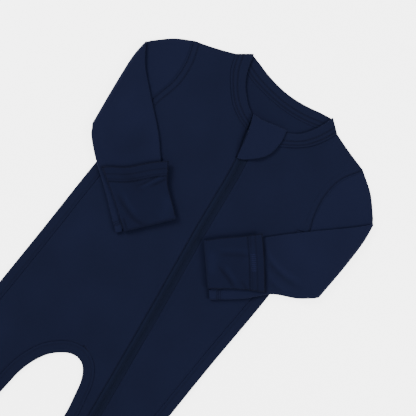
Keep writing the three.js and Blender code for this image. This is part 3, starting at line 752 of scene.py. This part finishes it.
def shoulderTurn(piece, name, numbers):
    out = -signOf[name] * leftOf(along(cuts[name]["shoulder"], len(numbers) - 1))
    armhole = along(cuts[name]["armhole"], 40)
    out[0] = unit(armhole[-1] - armhole[-2])
    turnOver(piece, numbers, out, -layer, seamPlan["shoulderFlange"], flatSteps=3, groove=0)


def makeFrontLeft():
    piece = Cloth()
    near = panelSide("left")
    neck = trimmed(cuts["left"]["neckOuter"], 42, 0, fold)
    edge = shoulderEdge("left", fold, neck)
    zipTop = zipEdge(neck[-1, 1], 1)
    neck[-1] = zipTop
    last = shoulderAndNeck(edge, neck, crowded(10, 84, "both", keep=3))
    far = zipEdge(levels(near, zipTop[1]), 1)
    first = np.linspace(near[0], far[0], len(last))
    near[-1], far[-1] = last[0], last[-1]
    plan = patch(first, last, near, far, evenly(len(near) - 1) ** seamPlan["reach"])
    numbers = layFront(piece, plan)
    piece.strips(numbers)
    onShoulder = np.argmin(np.abs(crowded(10, 84, "both", keep=3) - 3)) + 1
    shoulderTurn(piece, "left", numbers[-1, :onShoulder])
    return piece.piece("frontLeft", cloth, frontJersey["left"], edge=0.25)


def makeFrontRight():
    piece = Cloth()
    near = panelSide("right")
    neck = trimmed(cuts["right"]["neckOuter"], 84, 0, fold)
    edge = shoulderEdge("right", fold, neck)
    outerNeck, innerNeck = neck[:49], neck[48:]
    zipTop = zipEdge(innerNeck[-1, 1], -1)
    innerNeck[-1] = zipTop
    places = crowded(7, 78, "start", keep=3)
    last = shoulderAndNeck(edge, outerNeck, places)
    away = seamPlan["sideFlange"] + seamPlan["seamGap"]
    inner = {name: innerLine[name] - innerOut[name] * away for name in sides}
    middle = middleLine(inner["right"][-1], outerNeck[-1], 7 * fine)
    far = joined(inner["right"], middle)
    near[-1], far[-1] = last[0], last[-1]
    hem = np.linspace(near[0], far[0], len(last))
    v = evenly(len(near) - 1) ** seamPlan["reach"]
    outer = layFront(piece, patch(hem[::-1], last[::-1], far, near, v))
    piece.strips(outer)
    innerSide = joined(inner["left"], middle)
    zipSide = zipEdge(levels(innerSide, zipTop[1]), -1)
    lastInner = spaced(innerNeck, crowded(1, 36, "end"))
    zipSide[-1] = lastInner[-1]
    hemInner = np.linspace(innerSide[0], zipSide[0], len(lastInner))
    innerPlan = patch(hemInner, lastInner, innerSide, zipSide)
    numbers = layFront(piece, innerPlan, shared=outer[legRows:, 0])
    piece.strips(numbers)
    onShoulder = np.argmin(np.abs(places - 3)) + 1
    shoulderTurn(piece, "right", outer[-1][::-1][:onShoulder])
    return piece.piece("frontRight", cloth, frontJersey["right"], edge=0.25)


frontLeft, frontRight = makeFrontLeft(), makeFrontRight()
print("fronts and back laid")


# Sleeves: flat tubes that turn back over themselves at the elbow
def drawnIn(row, distance):
    length = stepsOf(row).sum()
    return spaced(row, np.linspace(distance / length, 1 - distance / length, len(row)))


def stretched(row, atStart, atEnd):
    # a row made longer at its two ends by shares of its length, or shorter where they are negative
    shares = np.linspace(-atStart, 1 + atEnd, len(row))
    inner = spaced(row, np.clip(shares, 0, 1))
    total = stepsOf(row).sum()
    inner += np.maximum(-shares, 0)[:, None] * total * unit(row[0] - row[1])
    return inner + np.maximum(shares - 1, 0)[:, None] * total * unit(row[-1] - row[-2])


def elbowSlopes(name, edges, fromElbow, elbow, elbowOut):
    # how far the arm's two edges run along the elbow for each millimetre in from it
    slopes = []
    for end, beside, edge in ((0, 1, edges[0]), (-1, -2, edges[1])):
        line = curveThrough(cuts[name][edge])[::fromElbow]
        heading = line[np.argmax(np.linalg.norm(line - line[0], axis=1) > 6)] - line[0]
        outwards = unit(elbow[end] - elbow[beside])
        slopes.append(float(np.clip((heading @ outwards) / -(heading @ elbowOut[end]), -1.6, 1.6)))
    return np.array(slopes)


def outOf(name, line):
    # outwards at the elbow and the wrist
    return -signOf[name] * -leftOf(line)


sleeve = {"across": 54, "upperRows": 40, "elbowRows": 10, "foreRows": 100, "turnSteps": 6,
          "wristStitches": (9, 11, 13.5)}
wristLines = [(1, away, 0.35) for away in sleeve["wristStitches"]]


def wristOf(name):
    # the cuff's fold, and the sleeve's own edge: inside the fold, but flush with it beside the cuff
    cut = cuts[name]
    foldLine = along([cut["flapTop"][0], cut["flapUnder"][0]], 60)
    out = -outOf(name, foldLine)
    lower = heights["foreArm"] - layer / 2
    turn = (heights["flap"] - lower) / 2 + cloth / 2
    flap = np.linalg.norm(foldLine[-1] - foldLine[0])
    across = (foldLine[-1] - foldLine[0]) / flap
    width = (np.array(cut["foreUnder"][-1]) - foldLine[0]) @ across
    t = evenly(sleeve["across"])
    beside = smooth(t, flap / width - 0.005, flap / width + 0.03)
    edge = seamPlan["wristInset"]
    inset = edge + (turn + seamPlan["cuffTuck"] + gap - edge) * (1 - beside)
    row = foldLine[0] + across * (width * t)[:, None] - out[0] * inset[:, None]
    return {"fold": foldLine, "out": out, "turn": turn, "lower": lower, "row": row, "across": across,
            "flap": flap, "width": width}


def edged(points, start, end, steps):
    return along([tuple(start), *points[1:-1], tuple(end)], steps)


armCreases = {
    "right": [
        ([(-96, 12), (-106, -14), (-112, -38)], 9, 0.2),
        ([(-80, -8), (-92, -34), (-100, -52)], 7, -0.2),
        ([(-128, 30), (-124, 6), (-126, -18)], 8, 0.2),
    ],
    "left": [
        ([(70, -22), (86, -30), (104, -33), (130, -29)], 2.8, 0.55),
        ([(68, -27), (86, -35), (108, -38), (134, -36)], 2.2, -0.5),
        ([(76, -40), (98, -45.5), (126, -46)], 2.6, 0.35),
        ([(76, -45), (98, -50), (124, -51)], 2.2, -0.3),
        ([(92, 0), (112, -8), (132, -8)], 8, 0.15),
    ],
}


def foreArmRelief(name, plan):
    x, y = placesOf(plan)
    free = smooth(outsideOf(x, y, flapOutline(name)), 0.8, 7)
    return (creased(x, y, armCreases[name]) + rolling(x, y, 0.1)) * free


def cuffEdgeShadow(name, points):
    # painted shadow beside the cuff's free edge, darker in waves along it
    distance, share = nearest(points[:, 0], points[:, 1], along(cuts[name]["flapFree"], 20))
    depth, waves = {"right": (0.55, 0.1), "left": (0.95, 0.25)}[name]
    return depth * bell(distance, 1.9) * (1 - waves + waves * np.cos(4 * math.pi * (share - 0.27)))


def makeSleeve(name):
    cut = cuts[name]
    n = sleeve["across"]
    reach = heights["elbow"] - heights["arm"]
    elbow = along(cut["elbow"], n)
    elbowOut = outOf(name, elbow)
    axis = elbow - elbowOut * (reach + fold)
    start = along(cut["armhole"], n)[::-1] + (signOf[name] * seamPlan["sleeveSeam"], 0)
    # the edges meet at a corner on the elbow, so they slide along it through the roll
    length = stepsOf(axis).sum()
    slopes = [elbowSlopes(name, ("armTop", "armUnder"), -1, elbow, elbowOut),
              elbowSlopes(name, ("foreTop", "foreUnder"), 1, elbow, elbowOut)]
    above, below = (stretched(axis, *(side * (reach + fold) / length)) for side in slopes)
    wrist = wristOf(name)["row"]
    upper = patch(start, above, edged(cut["armTop"], start[0], above[0], sleeve["upperRows"]),
                  edged(cut["armUnder"], start[-1], above[-1], sleeve["upperRows"]))
    fore = patch(below, wrist, edged(cut["foreTop"], below[0], wrist[0], sleeve["foreRows"]),
                 edged(cut["foreUnder"], below[-1], wrist[-1], sleeve["foreRows"]))
    stations = []

    def station(points, normal, half=layer / 2, upperRelief=0.0, foreRelief=0.0):
        spread = [np.broadcast_to(value, n + 1) for value in (half, upperRelief, foreRelief)]
        stations.append((points, np.broadcast_to(normal, (n + 1, 3)), *spread))

    for i, row in enumerate(upper):
        row = drawnIn(row, fold)
        fromArmhole = nearest(row[:, 0], row[:, 1], start)[0]
        relief = -0.35 * bell(fromArmhole, 1.6) + 0.1 * np.sin(row[:, 0] * 0.11 + row[:, 1] * 0.07)
        fade = smooth(i / sleeve["upperRows"], 0.98, 0.6)
        station(withHeight(row, heights["arm"]), up, upperRelief=relief * fade)
    elbowOut3 = withHeight(elbowOut, 0)
    for angle in np.linspace(0, np.pi, sleeve["elbowRows"] + 1)[1:-1]:
        normal = -elbowOut3 * math.sin(angle) + up * math.cos(angle)
        slide = slopes[int(angle > math.pi / 2)] * (reach + fold) * (1 - math.sin(angle))
        rolled = stretched(axis, *((slide - fold) / length))
        station(withHeight(rolled, heights["elbow"]) - normal * reach, normal)
    for i, row in enumerate(fore):
        row = drawnIn(row, fold)
        progress = i / sleeve["foreRows"]
        air = seamPlan["armSwell"] * math.sin(math.pi * min(2 * progress, 1)) * np.sin(np.pi * evenly(n))
        z = heights["foreArm"] + lift(row[:, 0], row[:, 1]) + air
        relief = foreArmRelief(name, row) * min(1, 5 * progress)
        station(withHeight(row, z), down, layer / 2 + air, foreRelief=relief)
    piece = Cloth()
    runs = runOf(np.array([points[n // 2] for points, *_ in stations]))
    rings = []
    for run, (points, normal, half, upperRelief, foreRelief) in zip(runs, stations):
        width = np.linalg.norm(points[-1] - points[0])
        u = np.linspace(0, width, n + 1)
        zeros = np.zeros(n + 1)
        facts = seamFacts((n + 1,), a=run, b=runs[-1] - run, c=u)
        over = piece.add(points + normal * half[:, None] + up * upperRelief[:, None], normal,
                         np.stack([u, zeros + run], -1), facts)
        # painted shade in the forearm's creases and painted highlight on their crests, with the painted
        # shadow beside the cuff's free edge
        hollow = np.clip(paintedLightOf(foreRelief, 1.6) + cuffEdgeShadow(name, points), -1, 1)
        under = piece.add((points - normal * half[:, None] + up * foreRelief[:, None])[::-1], -normal[::-1],
                          np.stack([2 * width + 3 - u[::-1], zeros + run], -1), facts[::-1], hollow[::-1])
        turns = []
        for end, neighbour, sign in ((n, n - 1, 1), (0, 1, -1)):
            out = points[end] - points[neighbour]
            out[2] = 0
            out = unit(out)
            grain = np.array([[width + 2 if sign > 0 else -1, run]])
            turned = []
            for angle in math.pi * evenly(sleeve["turnSteps"])[1:-1]:
                direction = out * math.sin(angle) + sign * normal[end] * math.cos(angle)
                at = points[end] + direction * half[end]
                turned.append(piece.add(at[None], direction, grain, facts[end][None])[0])
            turns.append(turned)
        rings.append([*over, *turns[0], *under, *turns[1], over[0]])
    piece.strips(rings)
    outer = jersey("brushed jersey, sleeve " + name, [(0, 2.2, 0.2), *wristLines], finish["sleeve"])
    return piece.piece("sleeve" + name.capitalize(), cloth, outer)


# Cuffs: the mitten flaps, turned over at the wrist and back on to the forearm
# the needles at 0.0 from the free edge and from the sides are no needlework: they paint shade along the
# cuff's rounded edges
cuff = {"across": 60, "along": 60, "hem": 15.0, "thickness": 2.0, "rise": 0.45,
        "needles": [(1, 15.0, 0.4), (1, 12.6, 0.2), (1, 7.5, 0.25), (1, 0.0, 0.5), (2, 0.0, 0.4)]}
cuffCreases = {
    "right": [
        ([(-55, -95), (-48, -98.5), (-42, -101.5)], 0.9, -0.7),  # the side seam's two needles
        ([(-53.5, -90.5), (-47, -95), (-41, -99.2)], 0.9, -0.7),
        ([(-60, -62), (-52.5, -45), (-46.5, -31)], 1.5, 0.45),
        ([(-61, -58), (-55, -45), (-50, -34)], 1.3, -0.55),
        ([(-52, -52), (-46.5, -41), (-42, -31)], 1.2, -0.6),
        ([(-76, -75), (-56, -83), (-40.3, -85.5), (-24, -80)], 2.0, -0.6),
        ([(-72, -70), (-54, -78), (-41, -80)], 2.4, 0.3),
        ([(-84, -60), (-66, -56), (-52, -62)], 5, -0.3),
        ([(-34, -44), (-24, -58), (-22, -72)], 6, 0.35),
    ],
    "left": [
        ([(42, -62), (57, -50.5), (72, -40)], 1.8, -0.35),
        ([(40, -57), (54, -46), (66, -37)], 2.0, 0.2),
        ([(48, -69), (65.4, -72.6), (80, -78)], 1.7, -0.6),
        ([(53, -64), (66, -67.5), (78, -72)], 2.2, 0.35),
        ([(76, -66), (93, -71.5)], 1.6, -0.45),
        ([(33, -62), (45, -70), (50, -84)], 5, 0.35),
        ([(62, -30), (70, -42), (84, -50)], 5, 0.3),
    ],
}


def cuffHeight(name, plan, free):
    x, y = placesOf(plan)
    z = heights["flap"] + lift(x, y) + cuff["rise"]
    fromFree, _ = nearest(x, y, free)
    z = z + 0.5 * bell(fromFree, 5)
    hem = 1 - smooth(fromFree, cuff["hem"] - 1.6, cuff["hem"] + 1.2) - bell(fromFree - cuff["hem"], 1.5)
    relief = creased(x, y, cuffCreases[name])
    # and how much painted shade the creases get, with a painted highlight on their crests
    return z + 0.3 * hem + relief, fromFree, paintedLightOf(relief, 1.0)


def makeCuff(name):
    cut = cuts[name]
    n, m = cuff["across"], cuff["along"]
    wrist = wristOf(name)
    base, out = wrist["fold"] - wrist["out"] * wrist["turn"], wrist["out"]
    free = along(cut["flapFree"], n)
    plan = patch(base, free, edged(cut["flapTop"], base[0], free[0], m),
                 edged(cut["flapUnder"], base[-1], free[-1], m))
    z, fromFree, hollow = cuffHeight(name, plan, free)
    piece = Cloth()
    width, length = np.linalg.norm(free[-1] - free[0]), np.linalg.norm(free[0] - base[0])
    u, v = np.meshgrid(np.linspace(0, width, n + 1), np.linspace(0, length, m + 1))
    facts = seamFacts(plan.shape[:-1], b=fromFree, c=np.minimum(u, width - u))
    numbers = piece.add(withHeight(plan, z), up, np.stack([u, v], -1), facts, hollow)
    piece.strips(numbers)
    turnOver(piece, numbers[0], out, wrist["lower"] - heights["flap"] - cuff["rise"],
             fold + seamPlan["cuffTuck"], groove=0, flatSteps=2)
    inner = jersey("brushed jersey, cuff " + name, cuff["needles"], finish["inside"])
    return piece.piece("cuff" + name.capitalize(), cuff["thickness"], inner, edge=0.8)


sleeves = {name: makeSleeve(name) for name in sides}
cuffs = {name: makeCuff(name) for name in sides}
print("sleeves and cuffs folded")


# Neck band: doubled cloth along one front, over, along the back and down the other front
band = {"across": 22, "frontSteps": 70, "backSteps": 90, "turnSteps": 7, "crown": 0.35, "width": 14.7,
        "needles": (8.2, 12.2), "needleDip": 0.22}


def stationsOf(outer, inside, start=0.0):
    across = inside - outer
    across /= np.linalg.norm(across, axis=1)[:, None]
    t = evenly(band["across"])[None, :, None]
    start = outer + across * start
    return start[:, None] * (1 - t) + inside[:, None] * t


def makeBand():
    piece = Cloth()
    drop = heights["neckFront"] - heights["neckBack"]
    turn = doubled / 2 + drop / 2
    steps, n = band["frontSteps"], band["across"]
    fronts, foldOut = {}, {}
    behind = stationsOf(*(along(cuts[line], band["backSteps"]) for line in ("neckSeam", "neckTop")), -0.2)
    t = evenly(n)
    for name, back in (("right", behind), ("left", behind[::-1])):
        outer, inside = (trimmed(cuts[name][line], steps, 0, turn) for line in ("neckOuter", "neckInner"))
        ease = np.maximum(0, np.linspace(-3, 1, steps + 1))[:, None]
        for line in (outer, inside):
            line += (zipEdge(line[-1, 1], signOf[name]) - line[-1]) * ease
        fronts[name] = stationsOf(outer, inside, -0.15)
        heading = [unit(line[0] - line[1]) for line in (outer, inside)]
        foldOut[name] = heading[0] * (1 - t)[:, None] + heading[1] * t[:, None]
        # the back's rows come down to the same end
        back[:12] += (fronts[name][0] - back[0]) * np.maximum(0, 1 - np.arange(12) / 12)[:, None, None]
    width = band["width"]
    fromInside = (1 - t) * width
    dips = band["needleDip"] * sum(bell(fromInside - away, 1.0) for away in band["needles"])
    crown = band["crown"] * (1 - (2 * t - 1) ** 6) - dips

    def laid(rows, z, normal, crownSign):
        run = runOf(rows[:, n // 2])
        u, v = np.meshgrid(t * width, run)
        facts = seamFacts(rows.shape[:-1], a=fromInside)
        return piece.add(withHeight(rows, z + crownSign * crown), normal, np.stack([u, v], -1), facts)

    onRight = laid(fronts["right"], heights["neckFront"], up, 1)
    onLeft = laid(fronts["left"], heights["neckFront"], up, 1)
    onBack = laid(behind, heights["neckBack"], down, 0)

    def turned(name, row):
        out = withHeight(foldOut[name], 0)
        piece.gathered()
        base, grain, facts = piece.points[0][row], piece.grain[0][row], piece.seams[0][row]
        rows = []
        for angle in np.linspace(0, np.pi, band["turnSteps"] + 1)[1:-1]:
            points = base + out * drop / 2 * math.sin(angle) - up * drop / 2 * (1 - math.cos(angle))
            points[:, 2] -= crown * (1 - math.cos(angle)) / 2
            normal = out * math.sin(angle) + up * math.cos(angle)
            rows.append(piece.add(points, normal, grain - (0, drop / 2 * angle), facts))
        return rows

    rows = [*onRight[::-1], *turned("right", onRight[0]), *onBack, *turned("left", onLeft[0])[::-1], *onLeft]
    piece.strips(rows)
    rib = jersey("folded rib jersey, neck band", [(0, away, 0.35) for away in band["needles"]], knitScale=1.3)
    return piece.piece("neckBand", doubled, rib, edge=0.4)


# Chin tab: doubled, over the top of the zip and the ends of the band
tab = {"up": 60, "across": 50, "slider": 1.7}


def tabHeight(x, y):
    onFront = heights["front"] + cloth / 2 + gap + doubled / 2
    onBand = heights["neckFront"] + doubled + gap
    overSlider = cloth + 3 * gap + lay["tape"] + tab["slider"] + 2 * gap + doubled / 2
    base = onFront + lift(x, y)
    base = base + (onBand - base) * smooth(y, 44, 53)
    nearZip = 1 - smooth(np.abs(x - zipMiddle(np.minimum(y, 70))), 8, 34)
    return base + (overSlider - base) * nearZip * smooth(y, 27, 40)


def makeTab():
    n, m = tab["across"], tab["up"]
    near, far = along(chinTab["zipEdge"], m), along(chinTab["freeEdge"], m)
    first = np.linspace(near[0], far[0], n + 1)
    plan = patch(first, along(chinTab["top"], n), near, far)
    x, y = placesOf(plan)
    z = tabHeight(x, y)
    fromZip, _ = nearest(x, y, near)
    rim, _ = nearest(x, y, np.vstack([far, along(chinTab["top"], 20)]))
    piece = Cloth()
    numbers = piece.add(withHeight(plan, z), up, plan, seamFacts(plan.shape[:-1], a=fromZip, b=rim))
    piece.strips(numbers)
    # the tab takes the sleeves' paler navy, which is painted light
    outer = jersey("doubled jersey, chin tab", colour=finish["sleeve"])
    return piece.piece("chinTab", doubled, outer, edge=0.7)


# Zip: a woven tape on each side of the coil
zipPlan = {"rows": 300, "across": 16, "tapeEnd": seamPlan["zipEnd"] + 3.2}


def makeTape(name):
    y = np.linspace(zipPlan["tapeEnd"], 69.4, zipPlan["rows"] + 1)
    side = signOf[name]
    outer, inner = zipEdge(y, side, -0.05), zipEdge(y, side, seamPlan["zipWidth"] / 2 - gap / 2 - 0.03)
    t = evenly(zipPlan["across"])[None, :, None]
    plan = outer[:, None] * (1 - t) + inner[:, None] * t
    z = cloth + gap + lay["tape"] / 2 + lift(plan[..., 0], plan[..., 1])
    across = np.broadcast_to(t[..., 0] * 5, z.shape)
    piece = Cloth()
    facts = seamFacts(z.shape, a=across)
    # a painted highlight, a paler line, runs beside the coil on the wearer's right
    facing = -0.35 * (1 - smooth(across, 2.2, 3.1)) * (name == "right")
    grain = np.stack([across, np.broadcast_to(y[:, None], z.shape)], -1)
    numbers = piece.add(withHeight(plan, z), up, grain, facts, facing)
    piece.strips(numbers)
    return piece.piece("zipTape" + name.capitalize(), lay["tape"], tapeWeave, edge=0.1)


tapeWeave = jersey("woven polyester zip tape", [(0, 2.9, 0.15)], "#0c1123", 0.7)
neckBand, tabPiece = makeBand(), makeTab()
tapes = {name: makeTape(name) for name in sides}
print("band, tab and zip made")

# Needlework: a short thread for each stitch, laid along lines on the finished cloth
stitchBar = {"pitch": 2.9, "length": 2.1, "width": 0.42, "height": 0.42}
rungBar = {"pitch": 1.9, "length": 6.4, "width": 0.6, "height": 0.4, "fromHem": 4.2, "first": 21, "last": 39}


def inputOf(tree, name, kind):
    return tree.interface.new_socket(name, in_out="INPUT", socket_type="NodeSocket" + kind).identifier


def repeatTree():
    # a small rounded bar at every step of the lines, each along or across its line
    tree = bpy.data.node_groups.new("bars along lines", "GeometryNodeTree")
    names = {"lines": inputOf(tree, "Lines", "Geometry")}
    for name in ("pitch", "length", "width", "height", "across", "finish"):
        kind = {"across": "Bool", "finish": "Material"}.get(name, "Float")
        names[name] = inputOf(tree, name.capitalize(), kind)
    tree.interface.new_socket("Bars", in_out="OUTPUT", socket_type="NodeSocketGeometry")
    given = addNode(tree, "NodeGroupInput")
    places = addNode(tree, "GeometryNodeCurveToPoints", {0: (given, 0), 2: (given, 1)}, mode="LENGTH")
    bar = addNode(tree, "GeometryNodeMeshUVSphere", {0: 6, 1: 4, 2: 0.5})
    rounded = addNode(tree, "GeometryNodeSetShadeSmooth", {0: (bar, 0)})
    heading = addNode(tree, "ShaderNodeVectorMath", {0: (places, 1), 1: (0, 0, 1)}, operation="CROSS_PRODUCT")
    pick = addNode(tree, "GeometryNodeSwitch", {0: (given, 5), 1: (places, 1), 2: (heading, 0)},
                   input_type="VECTOR")
    aimed = addNode(tree, "FunctionNodeAlignRotationToVector", {2: (pick, 0)}, axis="X", pivot_axis="AUTO")
    size = addNode(tree, "ShaderNodeCombineXYZ", {0: (given, 2), 1: (given, 3), 2: (given, 4)})
    bars = addNode(tree, "GeometryNodeInstanceOnPoints",
                   {0: (places, 0), 2: (rounded, 0), 5: (aimed, 0), 6: (size, 0)})
    solid = addNode(tree, "GeometryNodeRealizeInstances", {0: (bars, 0)})
    finished = addNode(tree, "GeometryNodeSetMaterial", {0: (solid, 0), 2: (given, 6)})
    addNode(tree, "NodeGroupOutput", {0: (finished, 0)})
    return tree, names


barTree, barInputs = repeatTree()


def barsAlong(name, lines, bar, material, across=False):
    # lines are lists of points in metres; the bar's sizes and their pitch are millimetres
    curve = bpy.data.curves.new(name + " lines", "CURVE")
    curve.dimensions = "3D"
    for line in lines:
        spline = curve.splines.new("POLY")
        spline.points.add(len(line) - 1)
        spline.points.foreach_set("co", np.column_stack([line, np.ones(len(line))]).ravel())
    drawn = placed(name + " lines", curve)
    modifier = drawn.modifiers.new("bars", "NODES")
    modifier.node_group = barTree
    for key in ("pitch", "length", "width", "height"):
        modifier[barInputs[key]] = bar[key] / 1000
    modifier[barInputs["across"]], modifier[barInputs["finish"]] = across, material
    mesh = bpy.data.meshes.new_from_object(drawn.evaluated_get(bpy.context.evaluated_depsgraph_get()))
    drawn.modifiers.remove(modifier)
    bpy.data.objects.remove(drawn)
    mesh.name = name
    print(name, len(mesh.polygons), "faces")
    return placed(name, mesh)


def onPiece(piece, plan, raised=0.05):
    # points on top of a piece, from points in plan
    found = []
    for x, y in plan:
        start = Vector(((x + lay["shift"][0]) / 1000, (y + lay["shift"][1]) / 1000, 0.05))
        hit, at, _, _ = piece.ray_cast(start, Vector((0, 0, -1)))
        if hit:
            found.append((at.x, at.y, at.z + raised / 1000))
    return np.array(found)


def thread(name, colour):
    # spun polyester thread, a little glossier than the cloth
    material, tree, shader = newMaterial(name, 0.7, 0.06)
    twist = noise(tree, 2500.0)
    ply = addNode(tree, "ShaderNodeBump", {"Height": twist, "Distance": 0.0001, "Strength": 0.6})
    mixed = blended(tree, twist, linear(colour), linear(colour, 1.3))
    tree.links.new(mixed[0].outputs[2], shader.inputs["Base Color"])
    tree.links.new(ply.outputs[0], shader.inputs["Normal"])
    return material


seamThread, coilNylon = thread("spun polyester thread", "#0f1326"), thread("nylon zip coil", "#0b1020")


def seamRun(piece, lines, raised=0.02):
    runs = [onPiece(piece, line, raised) for line in lines]
    return [run for run in runs if len(run) > 3]


def flangeLine(line, out):
    return line - out * (seamPlan["sideFlange"] - 3.0)


def bandSpot(away):
    # the band's row at a distance from its inner edge
    return int(round((1 - away / band["width"]) * band["across"]))


stitchLines = seamRun(backPiece, [flangeLine(sideLine[name], sideOut[name])[::2] for name in sides])
stitchLines += seamRun(backPiece, [flangeLine(innerLine[name], innerOut[name])[::2] for name in sides])
for name, piece in (("right", frontRight), ("left", frontLeft)):
    armLine = trimmed(cuts[name]["armhole"], 60, 1)
    stitchLines += seamRun(piece, [armLine + signOf[name] * leftOf(armLine) * 5.8])
stitchLines += seamRun(frontRight, [zipEdge(np.linspace(seamPlan["zipEnd"] + 4, 50, 200), -1, -0.7)])
for name in sides:
    front = stationsOf(along(cuts[name]["neckOuter"], 70), along(cuts[name]["neckInner"], 70))
    for away in band["needles"]:
        stitchLines += seamRun(neckBand, [front[2:-2, bandSpot(away)]])
    cutLine = along(cuts[name]["flapFree"], 60)
    hemLine = cutLine - signOf[name] * leftOf(cutLine) * cuff["hem"]
    stitchLines += seamRun(cuffs[name], [hemLine])
behindLine = stationsOf(along(cuts["neckSeam"], 90), along(cuts["neckTop"], 90))
stitchLines += seamRun(neckBand, [behindLine[4:-4, bandSpot(band["needles"][0])]])
# across the sleeve's strip beside each cuff, and round the leg hems
for name in sides:
    wrist = wristOf(name)
    strip = np.linspace(wrist["flap"] + 1.5, wrist["width"] - 1.6, 12)[:, None] * wrist["across"]
    strip = strip + wrist["fold"][0]
    rows = [strip - wrist["out"][0] * away for away in sleeve["wristStitches"]]
    stitchLines += seamRun(sleeves[name], rows)
legHems = {"rows": (-384, -387), "runs": ((frontRight, -102, -57), (frontRight, 44, 58), (frontLeft, 72, 92))}
for piece, first, last in legHems["runs"]:
    hems = [np.column_stack([np.linspace(first, last, 20), np.full(20, y)]) for y in legHems["rows"]]
    stitchLines += seamRun(piece, hems)
stitches = barsAlong("seamStitches", stitchLines, stitchBar, seamThread)

leftHem = along(cuts["left"]["flapFree"], 60)
ladder = (leftHem - leftOf(leftHem) * (cuff["hem"] - rungBar["fromHem"]))[rungBar["first"]:rungBar["last"]]
rungs = barsAlong("cuffLadderStitches", seamRun(cuffs["left"], [ladder], 0.05), rungBar,
                  thread("ladder stitch thread", "#181c38"), across=True)

# The coil: one bar of nylon for each turn, over the meeting of the two tapes
coilBar = {"pitch": 1.25, "length": 3.2, "width": 0.9, "height": 0.35}
coilY = np.linspace(seamPlan["zipEnd"] + 4, 66, 400)
coilX = zipMiddle(coilY)
coilZ = cloth + gap + lay["tape"] + 0.05 + lift(coilX, coilY)
coilLine = (np.stack([coilX, coilY, coilZ], axis=-1) + lay["shift"]) / 1000
zipCoil = barsAlong("zipCoil", [coilLine], coilBar, coilNylon, across=True)
print("needlework and coil laid")

# The slider under the tab: zinc alloy, enamelled navy
enamel, enamelTree, enamelShader = newMaterial("navy enamelled zinc alloy", 0.4, 0.5)
enamelTint = blended(enamelTree, noise(enamelTree, 600.0), linear("#0c1122"), linear("#12172b"))
enamelTree.links.new(enamelTint[0].outputs[2], enamelShader.inputs["Base Color"])
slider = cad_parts["zip_slider"]
slider.data.materials.clear()
slider.data.materials.append(enamel)

# Each piece hangs from the root body, and each piece of cloth hides the solid it stands for
for piece, slot in ((stitches, "jersey"), (rungs, "jersey"), (zipCoil, "zip_tape")):
    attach(piece, "root")
for piece, node, slot in (
    (backPiece, "back", "jersey"), (frontLeft, "front_left", "jersey"), (frontRight, "front_right", "jersey"),
    (sleeves["right"], "sleeve_right", "jersey"), (sleeves["left"], "sleeve_left", "jersey"),
    (cuffs["right"], "cuff_right", "jersey"), (cuffs["left"], "cuff_left", "jersey"),
    (neckBand, "neck_band", "jersey"), (tabPiece, "chin_tab", "jersey"),
    (tapes["right"], "zip_tape_right", "zip_tape"), (tapes["left"], "zip_tape_left", "zip_tape"),
):
    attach(piece, "root")
    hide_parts(node)

# Floor, light and camera
studio = {"floor": "#f4f4f4", "glow": 3.5, "floorReach": 6, "floorDrop": -0.0002, "cameraHeight": 0.982,
          "lens": 85, "turn": 39.0, "middle": (0.0054, 0.1099)}
floorMesh = bpy.data.meshes.new("floor")
floorCorners = [(x * studio["floorReach"], y * studio["floorReach"], studio["floorDrop"])
                for x, y in ((-1, -1), (1, -1), (1, 1), (-1, 1))]
floorMesh.from_pydata(floorCorners, [], [(0, 1, 2, 3)])
floor = placed("floor", floorMesh)
white, _, paper = newMaterial("matt white paper", 0.9, 0.5)
paper.inputs["Base Color"].default_value = linear(studio["floor"])
paper.inputs["Emission Color"].default_value = (1, 1, 1, 1)
paper.inputs["Emission Strength"].default_value = studio["glow"]
floorMesh.materials.append(white)

world = bpy.data.worlds.new("soft room")
world.use_nodes = True
world.node_tree.nodes["Background"].inputs[0].default_value = (1, 1, 1, 1)
world.node_tree.nodes["Background"].inputs[1].default_value = 1.05
bpy.context.scene.world = world


def areaLight(name, place, size, power, aim):
    data = bpy.data.lights.new(name, "AREA")
    data.shape, data.size, data.energy = "DISK", size, power
    made = placed(name, data)
    made.location = place
    made.rotation_euler = (aim - place).to_track_quat("-Z", "Y").to_euler()


turn = math.radians(studio["turn"])
right, ahead = Vector((math.cos(turn), math.sin(turn), 0)), Vector((-math.sin(turn), math.cos(turn), 0))
middle = Vector((*studio["middle"], 0))
areaLight("window softbox", middle - right * 0.9 + ahead * 0.9 + Vector((0, 0, 0.9)), 0.6, 25, middle)
areaLight("far softbox", middle + right * 0.9 - ahead * 0.4 + Vector((0, 0, 0.7)), 0.5, 11, middle)

cameraData = bpy.data.cameras.new("overhead camera")
cameraData.lens, cameraData.sensor_width = studio["lens"], 36
camera = placed("overhead camera", cameraData)
camera.location = middle + Vector((0, 0, studio["cameraHeight"]))
camera.rotation_euler = (0, 0, turn)
bpy.context.scene.camera = camera
